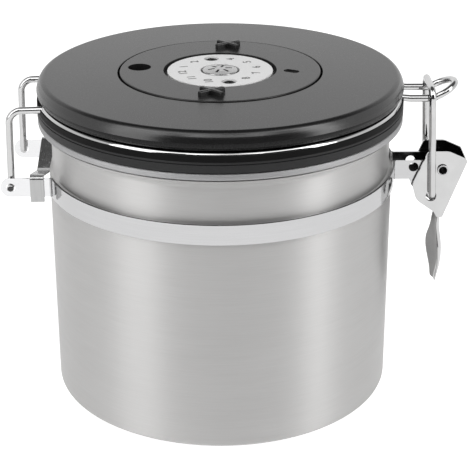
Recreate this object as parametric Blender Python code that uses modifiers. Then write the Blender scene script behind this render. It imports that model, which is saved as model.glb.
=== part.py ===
# Coffee canister: a drawn steel can, a moulded lid on a wire hinge and an over-centre wire clamp.
# Metres, +Z up. The origin is the centre of the base, with the clamp at +X and the hinge at -X.

import math

import bmesh
import bpy
from mathutils import Matrix, Vector

# Clearances
SEAT_GAP = 0.0003
WIRE_PLAY = 0.00035
WIRE_CLEARANCE = 0.0006
MERGE_DISTANCE = 0.00001
CUT_OVERRUN = 0.003
JOIN_SINK = 0.0006

# Fineness of round shapes
LARGE_STEPS = 40
MEDIUM_STEPS = 24
SMALL_STEPS = 14
HOLE_STEPS = 8
FILLET_STEPS = 2
WIRE_FILLET_STEPS = 4
ROOM_SHARE = 0.46

# Can
BODY_RADIUS = 0.0615
BODY_WALL = 0.0008
BASE_FILLET = 0.0018
BEAD_RADIUS = 0.0430
BEAD_WIDTH = 0.0040
BEAD_DEPTH = 0.0004
NECK_INSET = 0.0012
NECK_LENGTH = 0.0136
SHOULDER_HEIGHT = 0.0015
SHOULDER_FILLET = 0.0007
RIM_REACH = 0.0029
RIM_HEIGHT = 0.0032
RIM_FILLET = 0.0010
CURL_SLIT = 0.0009

# Band of two half hoops
BAND_LOW = 0.0772
BAND_HEIGHT = 0.0069
BAND_THICKNESS = 0.0007
BAND_FOLD = 0.0012
BAND_POINTS = 24
END_ROUND_STEPS = 4
EAR_SPREAD = 0.0390
EAR_TIP = 0.0036
ARM_SPREAD = 0.0092
ARM_TIP = 0.0031
END_ROUND_SHARE = 0.47
ARM_HOLE_RADIUS = 0.0018
ARM_HOLE_BACK = 0.0103

# Hinge and its clip
HINGE_REACH = 0.0120
CLIP_WIDTH = 0.0048
CLIP_THICKNESS = 0.0008
CLIP_SKIRT = 0.0092
CLIP_DIP = 0.0056
CLIP_FOLD = 0.0008

# Wire
WIRE_DIAMETER = 0.0025
WIRE_BEVEL_RESOLUTION = 1
RING_STEP = math.radians(7.2)
LEG_INSET = 0.00160
LEG_LEAN = 0.0007
LEG_BEND = 0.0045
FOOT_BEND = 0.0015
FOOT_LENGTH = 0.0034
EXIT_BEND = 0.0026
NOSE_SPREAD = 0.0128
NOSE_RISE = 0.0039
NOSE_FLAT_REACH = 0.0140
NOSE_SLOPE_REACH = 0.0178
NOSE_TIP_REACH = 0.0208
NOSE_TIP_DRAW = 0.0009
NOSE_BEND = 0.0028
NOSE_TIP_BEND = 0.0050

# Lever
LEVER_REACH = 0.0179
LEVER_RISE = 0.00075
LEVER_WIDTH = 0.0138
LEVER_SHEET = 0.0010
LEVER_FOLD = 0.0010
WEB_SKIN = 0.00005
FOLD_SHARE = 0.7
RIVET_RADIUS = 0.0013
RIVET_BORE = 0.0009
RIVET_HEAD_RADIUS = 0.0020
RIVET_HEAD_THICKNESS = 0.0006
BAIL_PIVOT_BACK = 0.0036
BAIL_PIVOT_DROP = 0.0095
WEB_TOP_OUT = 0.0090
WEB_TOP_RISE = 0.0035
WEB_LOW_OUT = 0.0008
WEB_LOW_DROP = 0.0184
CHEEK_TOP_RISE = 0.0066
CHEEK_TOP_BACK = 0.0054
CHEEK_TOP_OUT = 0.0021
CHEEK_BULGE_BACK = 0.0106
CHEEK_BULGE_DROP = 0.0059
CHEEK_HEEL_BACK = 0.0090
CHEEK_HEEL_DROP = 0.0116
CHEEK_SOLE_BACK = 0.0024
CHEEK_SOLE_DROP = 0.0163
CHEEK_FILLET = 0.0020
LEAF_LENGTH = 0.0284
LEAF_HALF_WIDTH = 0.0063
LEAF_DISH = 0.0046
LEAF_SHEET = 0.0009
LEAF_SWELL = 0.0020
LEAF_ROWS = 13
LEAF_COLUMNS = 6

# Finger leaf, by shares of its length, half width, dish and swell. It starts inside the web.
LEAF_SHARES = (
    (-0.080, 0.50, 0.00, 0.00),
    (0.000, 0.48, 0.24, 0.02),
    (0.090, 0.47, 0.36, -0.20),
    (0.215, 0.54, 0.32, -0.10),
    (0.350, 0.80, 0.68, 0.30),
    (0.470, 1.00, 1.00, 0.62),
    (0.645, 0.97, 0.91, 0.66),
    (0.790, 0.78, 0.58, 0.58),
    (0.930, 0.46, 0.26, 0.30),
    (1.000, 0.16, 0.04, -0.02),
)

# Bail
BAIL_SPREAD = 0.0186
BAIL_BACK = 0.0018
BAIL_BEND = 0.0030
BAIL_FOOT_BEND = 0.0018
BAIL_FOOT_INSIDE = 0.0007
BAIL_LIFT = 0.0015

# Lid cover
COVER_REACH = 0.0033
COVER_HEIGHT = 0.00705
COVER_WALL = 0.0020
COVER_SHOULDER = 0.0031
COVER_EDGE = 0.0004
WELL_DEPTH = 0.0044
WELL_FLOOR = 0.0016
WELL_WALL = 0.0018
HUB_HEIGHT = 0.0023
BOSS_RADIUS = 0.0034
SCREW_COUNT = 4

# Lid base
FLANGE_THICKNESS = 0.0010
FLANGE_INSET = 0.00155
PLUG_INSET = 0.0049
PLUG_WALL = 0.0022
PLUG_DEPTH = 0.0037
PLUG_FILLET = 0.0006
PLATE_THICKNESS = 0.0017
COLLAR_WALL = 0.0018
COLLAR_HEIGHT = 0.0046
SCREW_RADIUS = 0.0013
SCREW_HEAD_RADIUS = 0.0026
SCREW_HEAD_HEIGHT = 0.0012
SCREW_LENGTH = 0.0075
SCREW_RECESS_DEPTH = 0.0006

# Gasket
GASKET_REACH = 0.0028
GASKET_SOLE = 0.0014
GASKET_LIP = 0.00045
GASKET_FILLET = 0.0004
WIRE_PROUD = 0.00005

# Date ring
RING_RADIUS = 0.03535
RING_GROOVE = 0.0007
RING_TURN = math.radians(-6.0)
RING_SINK = 0.00005
RING_LIP_WIDTH = 0.0024
RING_LIP_HEIGHT = 0.0010
RING_EDGE = 0.0004
DAY_PLATE_THICKNESS = 0.0007
WINDOW_RADIUS = 0.00405
WINDOW_OUT = 0.0010
MARK_IN = 0.0025
MARK_LENGTH = 0.0056
MARK_WIDTH = 0.0013
MARK_DEPTH = 0.0005
MARK_TURN = math.radians(-17.0)
GRIP_LENGTH = 0.0100
GRIP_BAR_WIDTH = 0.0023
GRIP_HEIGHT = 0.0022
GRIP_SINK = 0.0004
GRIP_CROSS = math.radians(22.0)
GRIP_EDGE = 0.00035
GRIP_PEG_RADIUS = 0.0010
GRIP_PEG_LENGTH = 0.0012

# Dial plate and its screws
DIAL_RADIUS = 0.0195
DIAL_GROOVE = 0.0005
DIAL_THICKNESS = 0.0019
DIAL_EDGE = 0.0003
DIAL_TURN = math.radians(13.0)
DIAL_SCREW_INSET = 0.0058
DIAL_RECESS_RADIUS = 0.0027
DIAL_SCREW_SEAT = 0.0005
DIAL_SCREW_HEAD_RADIUS = 0.0023
DIAL_SCREW_HEAD_HEIGHT = 0.0006
DIAL_SCREW_RADIUS = 0.0011
DIAL_SCREW_LENGTH = 0.0036
CROSS_WIDTH = 0.0006
CROSS_LENGTH = 0.0026
CROSS_DEPTH = 0.00035

# Vent cap
CAP_RADIUS = 0.0066
CAP_THICKNESS = 0.0020
CAP_DOME = 0.0005
CAP_DOME_SHARE = 0.8
CAP_EDGE = 0.0004
CAP_STEM_RADIUS = 0.0048
CAP_STEM_LENGTH = 0.0027
CAP_BORE_RADIUS = 0.0036
CAP_ROOF = 0.0010
CAP_SLOT_COUNT = 6
CAP_SLOT_WIDTH = 0.0006
CAP_SLOT_LENGTH = 0.0016
CAP_SLOT_CIRCLE = 0.0023

# One-way vent under the dial
SEAT_HOLE_RADIUS = 0.0030
SEAT_LIP_WIDTH = 0.0014
SEAT_LIP_HEIGHT = 0.0005
VALVE_DISC_RADIUS = 0.0074
VALVE_DISC_THICKNESS = 0.0009
VALVE_DISC_EDGE = 0.0003
VALVE_LIFT = 0.0010
VALVE_STOP_GAP = 0.0004
RETAINER_RADIUS = 0.0087
RETAINER_THICKNESS = 0.0008
RETAINER_LEDGE = 0.0008
RETAINER_HOLE_RADIUS = 0.0015
RETAINER_HOLE_CIRCLE = 0.0050
RETAINER_HOLE_COUNT = 5
HOUSING_WALL = 0.0013
HOUSING_PROUD = 0.0002
GUARD_RADIUS = 0.0120
GUARD_THICKNESS = 0.0016
GUARD_SINK = 0.0009
GUARD_HOLE_RADIUS = 0.0013
GUARD_HOLE_CIRCLE = 0.0075
GUARD_HOLE_COUNT = 8
GUARD_EDGE = 0.0004

# Heights up the can
band_top = BAND_LOW + BAND_HEIGHT
band_middle = BAND_LOW + BAND_HEIGHT / 2
shoulder_low = band_top + SEAT_GAP
shoulder_top = shoulder_low + SHOULDER_HEIGHT
rim_low = shoulder_top + NECK_LENGTH
rim_top = rim_low + RIM_HEIGHT

# Heights up the lid
gasket_low = rim_top + SEAT_GAP
slot_low = gasket_low + GASKET_SOLE
flange_low = slot_low + SEAT_GAP
flange_top = flange_low + FLANGE_THICKNESS
slot_top = flange_top + SEAT_GAP
gasket_top = slot_top + GASKET_LIP
ring_wire_z = gasket_top + WIRE_CLEARANCE + WIRE_DIAMETER / 2
cover_low = ring_wire_z + WIRE_DIAMETER / 2 + SEAT_GAP
cover_top = cover_low + COVER_HEIGHT
plate_low = flange_top - PLATE_THICKNESS
plug_low = plate_low - PLUG_DEPTH
well_floor_top = cover_top - WELL_DEPTH
well_floor_low = well_floor_top - WELL_FLOOR
hub_top = well_floor_top + HUB_HEIGHT
day_plate_low = well_floor_top + SEAT_GAP
day_plate_top = day_plate_low + DAY_PLATE_THICKNESS
date_ring_low = day_plate_top + SEAT_GAP
date_ring_top = cover_top - RING_SINK
ring_lip_top = date_ring_low + RING_LIP_HEIGHT
dial_low = max(hub_top, ring_lip_top) + SEAT_GAP
dial_top = dial_low + DIAL_THICKNESS
seat_lip_top = flange_top + SEAT_LIP_HEIGHT
valve_low = seat_lip_top + SEAT_GAP
valve_top = valve_low + VALVE_DISC_THICKNESS
retainer_low = valve_top + VALVE_LIFT + VALVE_STOP_GAP
retainer_top = retainer_low + RETAINER_THICKNESS
housing_top = retainer_top + HOUSING_PROUD
screw_seat = plate_low + SCREW_RECESS_DEPTH - SEAT_GAP
screw_top = screw_seat + SCREW_LENGTH

# Radii
neck_radius = BODY_RADIUS - NECK_INSET
neck_bore = neck_radius - BODY_WALL
rim_radius = BODY_RADIUS + RIM_REACH
band_radius = BODY_RADIUS + SEAT_GAP + BAND_THICKNESS / 2
gasket_radius = BODY_RADIUS + GASKET_REACH
flange_radius = gasket_radius - FLANGE_INSET
wire_ring_radius = gasket_radius - WIRE_DIAMETER / 2 - WIRE_PROUD
collar_radius = wire_ring_radius - WIRE_DIAMETER / 2 - WIRE_PLAY
cover_radius = BODY_RADIUS + COVER_REACH
plug_radius = neck_radius - PLUG_INSET
plug_bore = plug_radius - PLUG_WALL
well_radius = RING_RADIUS + RING_GROOVE
ring_bore = DIAL_RADIUS + DIAL_GROOVE
ring_lip_bore = ring_bore - RING_LIP_WIDTH
hub_radius = ring_lip_bore - SEAT_GAP
cap_hole = CAP_RADIUS + SEAT_GAP
stem_hole = CAP_STEM_RADIUS + SEAT_GAP
ring_middle = (ring_bore + RING_RADIUS) / 2
dial_screw_circle = DIAL_RADIUS - DIAL_SCREW_INSET
screw_circle = (well_radius + WELL_WALL + plug_bore) / 2
seat_lip_radius = SEAT_HOLE_RADIUS + SEAT_LIP_WIDTH
housing_bore = RETAINER_RADIUS + SEAT_GAP
housing_radius = housing_bore + HOUSING_WALL
guard_recess = GUARD_RADIUS + SEAT_GAP
wire_hole = WIRE_DIAMETER / 2 + WIRE_PLAY
rivet_hole = RIVET_RADIUS + SEAT_GAP
screw_hole = SCREW_RADIUS + SEAT_GAP
dial_screw_hole = DIAL_SCREW_RADIUS + SEAT_GAP

# Joint axes
hinge_axis = Vector((-BODY_RADIUS - HINGE_REACH, 0, band_middle))
lever_axis = Vector((BODY_RADIUS + LEVER_REACH, 0, band_middle + LEVER_RISE))
bail_axis = lever_axis + Vector((-BAIL_PIVOT_BACK, 0, -BAIL_PIVOT_DROP))
ring_axis = Vector((0, 0, date_ring_low))
valve_axis = Vector((0, 0, valve_low))

# Widths across the clamp
ear_middle = EAR_SPREAD / 2
arm_middle = ARM_SPREAD / 2
ear_face = ear_middle + BAND_THICKNESS / 2
leg_y = ear_middle - LEG_INSET - BAND_THICKNESS / 2
nose_y = NOSE_SPREAD / 2
bail_y = BAIL_SPREAD / 2
cheek_face = LEVER_WIDTH / 2
cheek_inner = cheek_face - LEVER_SHEET


def clear_scene():
    for obj in list(bpy.data.objects):
        bpy.data.objects.remove(obj, do_unlink=True)


def make_collection(name):
    collection = bpy.data.collections.new(name)
    bpy.context.scene.collection.children.link(collection)
    return collection


def make_material(name, colour, roughness, metallic):
    material = bpy.data.materials.new(name)
    material.use_nodes = True
    shader = material.node_tree.nodes["Principled BSDF"]
    shader.inputs["Base Color"].default_value = (*colour, 1)
    shader.inputs["Roughness"].default_value = roughness
    shader.inputs["Metallic"].default_value = metallic
    material.diffuse_color = (*colour, 1)
    return material


def add_object(name, data, collection, material=None):
    obj = bpy.data.objects.new(name, data)
    collection.objects.link(obj)
    if material:
        obj.data.materials.append(material)
    return obj


def place_of(axis):
    return axis.location + place_of(axis.parent) if axis.parent else axis.location.copy()


def add_axis(name, place, parent=None):
    # An empty on a joint's axis
    axis = bpy.data.objects.new(name, None)
    parts.objects.link(axis)
    axis.parent = parent
    axis.location = place - place_of(parent) if parent else place
    return axis


def carry(obj, axis):
    # The piece keeps its place and turns about the axis
    to_axis = Matrix.Translation(-place_of(axis))
    tools = [modifier.object for modifier in obj.modifiers if modifier.type == "BOOLEAN"]
    for piece in [obj, *tools]:
        piece.parent = axis
        piece.matrix_parent_inverse = to_axis
    return obj


def as_mesh(obj):
    # The evaluated shape as a plain mesh object, with its caps welded
    bpy.context.view_layer.update()
    shape = bpy.data.meshes.new_from_object(obj.evaluated_get(bpy.context.evaluated_depsgraph_get()))
    bm = bmesh.new()
    bm.from_mesh(shape)
    bmesh.ops.remove_doubles(bm, verts=bm.verts, dist=MERGE_DISTANCE)
    bm.transform(obj.matrix_world)
    bm.to_mesh(shape)
    bm.free()
    name = obj.name
    collection = obj.users_collection[0]
    for tool in [modifier.object for modifier in obj.modifiers if modifier.type == "BOOLEAN"]:
        bpy.data.objects.remove(tool, do_unlink=True)
    bpy.data.objects.remove(obj, do_unlink=True)
    return add_object(name, shape, collection)


def smooth(obj, angle=math.radians(35)):
    obj.data.shade_smooth()
    obj.data.set_sharp_from_angle(angle=angle)
    return obj


def rounded(corners, closed=True, steps=FILLET_STEPS):
    # Straight runs joined by arcs: each corner is a point and its fillet radius
    path = []
    last = len(corners) - 1
    for index, (point, radius) in enumerate(corners):
        point = Vector(point)
        if radius == 0 or (not closed and index in (0, last)):
            path.append(point)
            continue
        before = Vector(corners[index - 1][0]) - point
        after = Vector(corners[(index + 1) % len(corners)][0]) - point
        half = before.angle(after) / 2
        reach = min(radius / math.tan(half), ROOM_SHARE * before.length, ROOM_SHARE * after.length)
        middle = (before.normalized() + after.normalized()).normalized() * reach / math.cos(half)
        start = before.normalized() * reach - middle
        end = after.normalized() * reach - middle
        turn = math.pi - 2 * half
        for step in range(steps + 1):
            swept = turn * step / steps
            spoke = (start * math.sin(turn - swept) + end * math.sin(swept)) / math.sin(turn)
            path.append(point + middle + spoke)
    return path


def turned(name, corners, steps, material=None, closed=True, collection=None):
    # A section of radius and height turned about Z. It runs down its outer side.
    outline = rounded(corners, closed)
    mesh = bpy.data.meshes.new(name)
    bm = bmesh.new()
    verts = [bm.verts.new((point.x, 0, point.y)) for point in outline]
    for start, end in zip(verts, verts[1:]):
        bm.edges.new((start, end))
    if closed:
        bm.edges.new((verts[-1], verts[0]))
    bm.to_mesh(mesh)
    bm.free()
    obj = add_object(name, mesh, collection or parts, material)
    screw = obj.modifiers.new("Turn", "SCREW")
    screw.steps = steps
    screw.render_steps = steps
    screw.use_merge_vertices = True
    screw.merge_threshold = MERGE_DISTANCE
    screw.use_smooth_shade = True
    return obj


def wire(name, path, material):
    curve = bpy.data.curves.new(name, "CURVE")
    curve.dimensions = "3D"
    curve.bevel_depth = WIRE_DIAMETER / 2
    curve.bevel_resolution = WIRE_BEVEL_RESOLUTION
    curve.use_fill_caps = True
    spline = curve.splines.new("POLY")
    spline.points.add(len(path) - 1)
    for point, place in zip(spline.points, path):
        point.co = (*place, 1)
    return add_object(name, curve, parts, material)


def ribbon(name, path, width, thickness, turn):
    # A strip of sheet that stands on a flat path, made a mesh with its wall
    curve = bpy.data.curves.new(name, "CURVE")
    curve.dimensions = "3D"
    curve.extrude = width / 2
    spline = curve.splines.new("POLY")
    spline.points.add(len(path) - 1)
    for point, place in zip(spline.points, path):
        point.co = (place.x, place.y, 0, 1)
    strip = add_object(name, curve, parts)
    strip.rotation_euler = turn
    strip = as_mesh(strip)
    wall = strip.modifiers.new("Wall", "SOLIDIFY")
    wall.thickness = thickness
    wall.offset = 0
    wall.use_even_offset = True
    return as_mesh(strip)


def plate(name, corners, thickness, turn=(0, 0, 0), collection=None):
    # A flat outline given half its thickness each way, made a mesh
    curve = bpy.data.curves.new(name, "CURVE")
    curve.dimensions = "2D"
    curve.fill_mode = "BOTH"
    curve.extrude = thickness / 2
    outline = rounded(corners)
    spline = curve.splines.new("POLY")
    spline.points.add(len(outline) - 1)
    spline.use_cyclic_u = True
    for point, place in zip(spline.points, outline):
        point.co = (place.x, place.y, 0, 1)
    flat = add_object(name, curve, collection or parts)
    flat.rotation_euler = turn
    return as_mesh(flat)


def rods(name, pins, sides, axis="Z"):
    # Cylinders of a middle, a radius and a length, along one axis, all in one mesh
    bm = bmesh.new()
    turn = Matrix.Rotation(math.pi / 2, 4, "X") if axis == "Y" else Matrix()
    for middle, radius, length in pins:
        bmesh.ops.create_cone(bm, cap_ends=True, segments=sides, radius1=radius, radius2=radius,
                              depth=length, matrix=Matrix.Translation(Vector(middle)) @ turn)
    mesh = bpy.data.meshes.new(name)
    bm.to_mesh(mesh)
    bm.free()
    return add_object(name, mesh, parts)


def bars(name, places, size):
    # Boxes at a middle and a turn about Z, all in one mesh
    bm = bmesh.new()
    for middle, turn in places:
        matrix = Matrix.Translation(Vector(middle)) @ Matrix.Rotation(turn, 4, "Z")
        bmesh.ops.create_cube(bm, size=1, matrix=matrix @ Matrix.Diagonal((*size, 1)))
    mesh = bpy.data.meshes.new(name)
    bm.to_mesh(mesh)
    bm.free()
    return add_object(name, mesh, parts)


def combine(obj, tool, operation):
    # The tool goes to the cutters and stays editable there
    tool.name = f"{obj.name}_{operation.lower()}_{len(obj.modifiers)}"
    for collection in list(tool.users_collection):
        collection.objects.unlink(tool)
    cutters.objects.link(tool)
    tool.hide_render = True
    tool.display_type = "WIRE"
    modifier = obj.modifiers.new(operation.title(), "BOOLEAN")
    modifier.operation = operation
    modifier.solver = "EXACT"
    modifier.object = tool
    return obj


def cut(obj, tool):
    return combine(obj, tool, "DIFFERENCE")


def join(obj, tool):
    return combine(obj, tool, "UNION")


def around(radius, count, height=0, first=0):
    # Places evenly spaced on a circle
    spacing = 2 * math.pi / count
    angles = [first + spacing * index for index in range(count)]
    return [Vector((radius * math.cos(angle), radius * math.sin(angle), height)) for angle in angles]


def cut_cross(screw, height):
    for turn in (0, math.pi / 2):
        cut(screw, bars("cross", [((0, 0, height), turn)], (CROSS_LENGTH, CROSS_WIDTH, 2 * CROSS_DEPTH)))


def repeat(obj, names, moves, material):
    # Copies of one piece that share its mesh, each with its own move
    source = smooth(as_mesh(obj))
    source.data.materials.append(material)
    copies = []
    for name, move in zip(names, moves):
        copy = add_object(name, source.data, parts)
        copy.matrix_world = move
        copies.append(copy)
    bpy.data.objects.remove(source, do_unlink=True)
    return copies


def build_can():
    bead_in = BEAD_RADIUS - BEAD_WIDTH / 2
    bead_out = BEAD_RADIUS + BEAD_WIDTH / 2
    wall = BODY_WALL
    curl_end = neck_radius + CURL_SLIT
    return turned("can_body", [
        ((0, wall), 0),
        ((bead_in, wall), 0),
        ((bead_in + BEAD_DEPTH, wall + BEAD_DEPTH), 0),
        ((bead_out - BEAD_DEPTH, wall + BEAD_DEPTH), 0),
        ((bead_out, wall), 0),
        ((BODY_RADIUS - wall, wall), BASE_FILLET - wall),
        ((BODY_RADIUS - wall, shoulder_low - wall / 2), 0),
        ((neck_bore, shoulder_top), 0),
        ((neck_bore, rim_top), RIM_FILLET),
        ((rim_radius, rim_top), RIM_FILLET),
        ((rim_radius, rim_low), RIM_FILLET),
        ((curl_end, rim_low), 0),
        ((curl_end, rim_low + wall), 0),
        ((rim_radius - wall, rim_low + wall), 0),
        ((rim_radius - wall, rim_top - wall), 0),
        ((neck_radius, rim_top - wall), 0),
        ((neck_radius, shoulder_top), SHOULDER_FILLET),
        ((BODY_RADIUS, shoulder_low), SHOULDER_FILLET),
        ((BODY_RADIUS, 0), BASE_FILLET),
        ((bead_out, 0), 0),
        ((bead_out - BEAD_DEPTH, BEAD_DEPTH), 0),
        ((bead_in + BEAD_DEPTH, BEAD_DEPTH), 0),
        ((bead_in, 0), 0),
        ((0, 0), 0),
    ], LARGE_STEPS, brushed_steel, closed=False)


def build_band(name, side):
    # Ear, half hoop and clamp arm in one folded strip, with rounded outer ends
    ear_end = hinge_axis.x - EAR_TIP
    arm_end = lever_axis.x + ARM_TIP
    first = math.pi - math.asin(ear_middle / band_radius)
    last = math.asin(arm_middle / band_radius)
    corners = [((ear_end, side * ear_middle, 0), 0)]
    for index in range(BAND_POINTS + 1):
        angle = first + (last - first) * index / BAND_POINTS
        fold = BAND_FOLD if index in (0, BAND_POINTS) else 0
        corners.append(((band_radius * math.cos(angle), side * band_radius * math.sin(angle), 0), fold))
    corners.append(((arm_end, side * arm_middle, 0), 0))
    band = ribbon(name, rounded(corners, closed=False), BAND_HEIGHT, BAND_THICKNESS, (0, 0, 0))
    bm = bmesh.new()
    bm.from_mesh(band.data)
    ends = []
    for edge in bm.edges:
        one, other = edge.verts
        across = abs(one.co.x - other.co.x) < MERGE_DISTANCE and abs(one.co.z - other.co.z) < MERGE_DISTANCE
        if across and min(abs(one.co.x - ear_end), abs(one.co.x - arm_end)) < MERGE_DISTANCE:
            ends.append(edge)
    bmesh.ops.bevel(bm, geom=ends, offset=BAND_HEIGHT * END_ROUND_SHARE, offset_type="OFFSET",
                    segments=END_ROUND_STEPS, profile=0.5, affect="EDGES", material=-1)
    bmesh.ops.translate(bm, vec=(0, 0, band_middle), verts=bm.verts)
    bm.to_mesh(band.data)
    bm.free()
    band.data.materials.append(polished_steel)
    ear = Vector((0, side * ear_middle, 0))
    arm = Vector((0, side * arm_middle, 0))
    open_hole = Vector((lever_axis.x - ARM_HOLE_BACK, 0, band_middle))
    holes = [
        (hinge_axis + ear, wire_hole, CUT_OVERRUN),
        (lever_axis + arm, rivet_hole, CUT_OVERRUN),
        (open_hole + arm, ARM_HOLE_RADIUS, CUT_OVERRUN),
    ]
    return smooth(cut(band, rods("holes", holes, SMALL_STEPS, "Y")))


def build_clip():
    # Skirt down the outside of each ear, over its top and a shallow V between
    skirt = ear_face + SEAT_GAP + CLIP_THICKNESS / 2
    top = band_top + SEAT_GAP + CLIP_THICKNESS / 2
    knee = ear_middle - BAND_THICKNESS / 2 - CLIP_FOLD
    path = rounded([
        ((-skirt, top - CLIP_SKIRT, 0), 0),
        ((-skirt, top, 0), CLIP_FOLD),
        ((-knee, top, 0), CLIP_FOLD),
        ((0, top - CLIP_DIP, 0), CLIP_DIP),
        ((knee, top, 0), CLIP_FOLD),
        ((skirt, top, 0), CLIP_FOLD),
        ((skirt, top - CLIP_SKIRT, 0), 0),
    ], closed=False)
    clip = ribbon("hinge_clip", path, CLIP_WIDTH, CLIP_THICKNESS, (math.pi / 2, 0, math.pi / 2))
    clip.data.materials.append(satin_steel)
    clip.location.x = -BODY_RADIUS - SEAT_GAP - CLIP_WIDTH / 2
    return clip


def build_rivet():
    half = cheek_face + SEAT_GAP + RIVET_HEAD_THICKNESS
    shank = cheek_face + SEAT_GAP
    flare = RIVET_BORE + RIVET_HEAD_THICKNESS / 2
    rivet = turned("lever_rivet", [
        ((flare, half), 0),
        ((RIVET_HEAD_RADIUS, half), RIVET_HEAD_THICKNESS / 2),
        ((RIVET_HEAD_RADIUS, shank), 0),
        ((RIVET_RADIUS, shank), 0),
        ((RIVET_RADIUS, -shank), 0),
        ((RIVET_HEAD_RADIUS, -shank), 0),
        ((RIVET_HEAD_RADIUS, -half), RIVET_HEAD_THICKNESS / 2),
        ((flare, -half), 0),
        ((RIVET_BORE, -shank), 0),
        ((RIVET_BORE, shank), 0),
    ], SMALL_STEPS, polished_steel)
    rivet.location = lever_axis
    rivet.rotation_euler.x = math.pi / 2
    return rivet


def build_lid_wire():
    # One wire: foot in the ear, leg, lid ring, upturned nose, and the same back on the other side
    leg_x = hinge_axis.x + LEG_LEAN
    foot_y = leg_y + FOOT_LENGTH
    exit_angle = math.asin(leg_y / wire_ring_radius)
    nose_angle = math.asin(nose_y / wire_ring_radius)
    nose_z = ring_wire_z + NOSE_RISE
    half = [
        ((hinge_axis.x, -foot_y, hinge_axis.z), 0),
        ((hinge_axis.x, -leg_y, hinge_axis.z), FOOT_BEND),
        ((leg_x, -leg_y, ring_wire_z), LEG_BEND),
    ]
    swept = math.pi - exit_angle - nose_angle
    count = round(swept / RING_STEP)
    for index in range(count + 1):
        angle = math.pi + exit_angle + swept * index / count
        bend = EXIT_BEND if index in (0, count) else 0
        ring_x = wire_ring_radius * math.cos(angle)
        ring_y = wire_ring_radius * math.sin(angle)
        half.append(((ring_x, ring_y, ring_wire_z), bend))
    half += [
        ((BODY_RADIUS + NOSE_FLAT_REACH, -nose_y, ring_wire_z), NOSE_BEND),
        ((BODY_RADIUS + NOSE_SLOPE_REACH, -nose_y, nose_z), NOSE_BEND),
        ((BODY_RADIUS + NOSE_TIP_REACH, -nose_y + NOSE_TIP_DRAW, nose_z), NOSE_TIP_BEND),
    ]
    other = [((x, -y, z), bend) for (x, y, z), bend in reversed(half)]
    return wire("lid_wire", rounded(half + other, closed=False, steps=WIRE_FILLET_STEPS), chrome)


def build_bail():
    bar_x = bail_axis.x - BAIL_BACK
    bar_z = ring_wire_z + WIRE_DIAMETER + BAIL_LIFT
    foot_y = cheek_inner - BAIL_FOOT_INSIDE
    half = [
        ((bail_axis.x, -foot_y, bail_axis.z), 0),
        ((bail_axis.x, -bail_y, bail_axis.z), BAIL_FOOT_BEND),
        ((bar_x, -bail_y, bar_z), BAIL_BEND),
    ]
    other = [((x, -y, z), bend) for (x, y, z), bend in reversed(half)]
    return wire("bail", rounded(half + other, closed=False, steps=WIRE_FILLET_STEPS), chrome)


def between_shares(table, share, column):
    # Smooth curve through one column of a table of shares
    last = len(table) - 1
    index = max(i for i in range(last) if table[i][0] <= share + MERGE_DISTANCE)
    before = table[max(index - 1, 0)]
    low = table[index]
    high = table[index + 1]
    after = table[min(index + 2, last)]
    span = high[0] - low[0]
    t = (share - low[0]) / span
    low_slope = (high[column] - before[column]) / (high[0] - before[0]) * span
    high_slope = (after[column] - low[column]) / (after[0] - low[0]) * span
    blend = 2 * t ** 3 - 3 * t ** 2
    return (low[column] * (1 + blend) + low_slope * (t ** 3 - 2 * t ** 2 + t)
            - high[column] * blend + high_slope * (t ** 3 - t ** 2))


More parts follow.
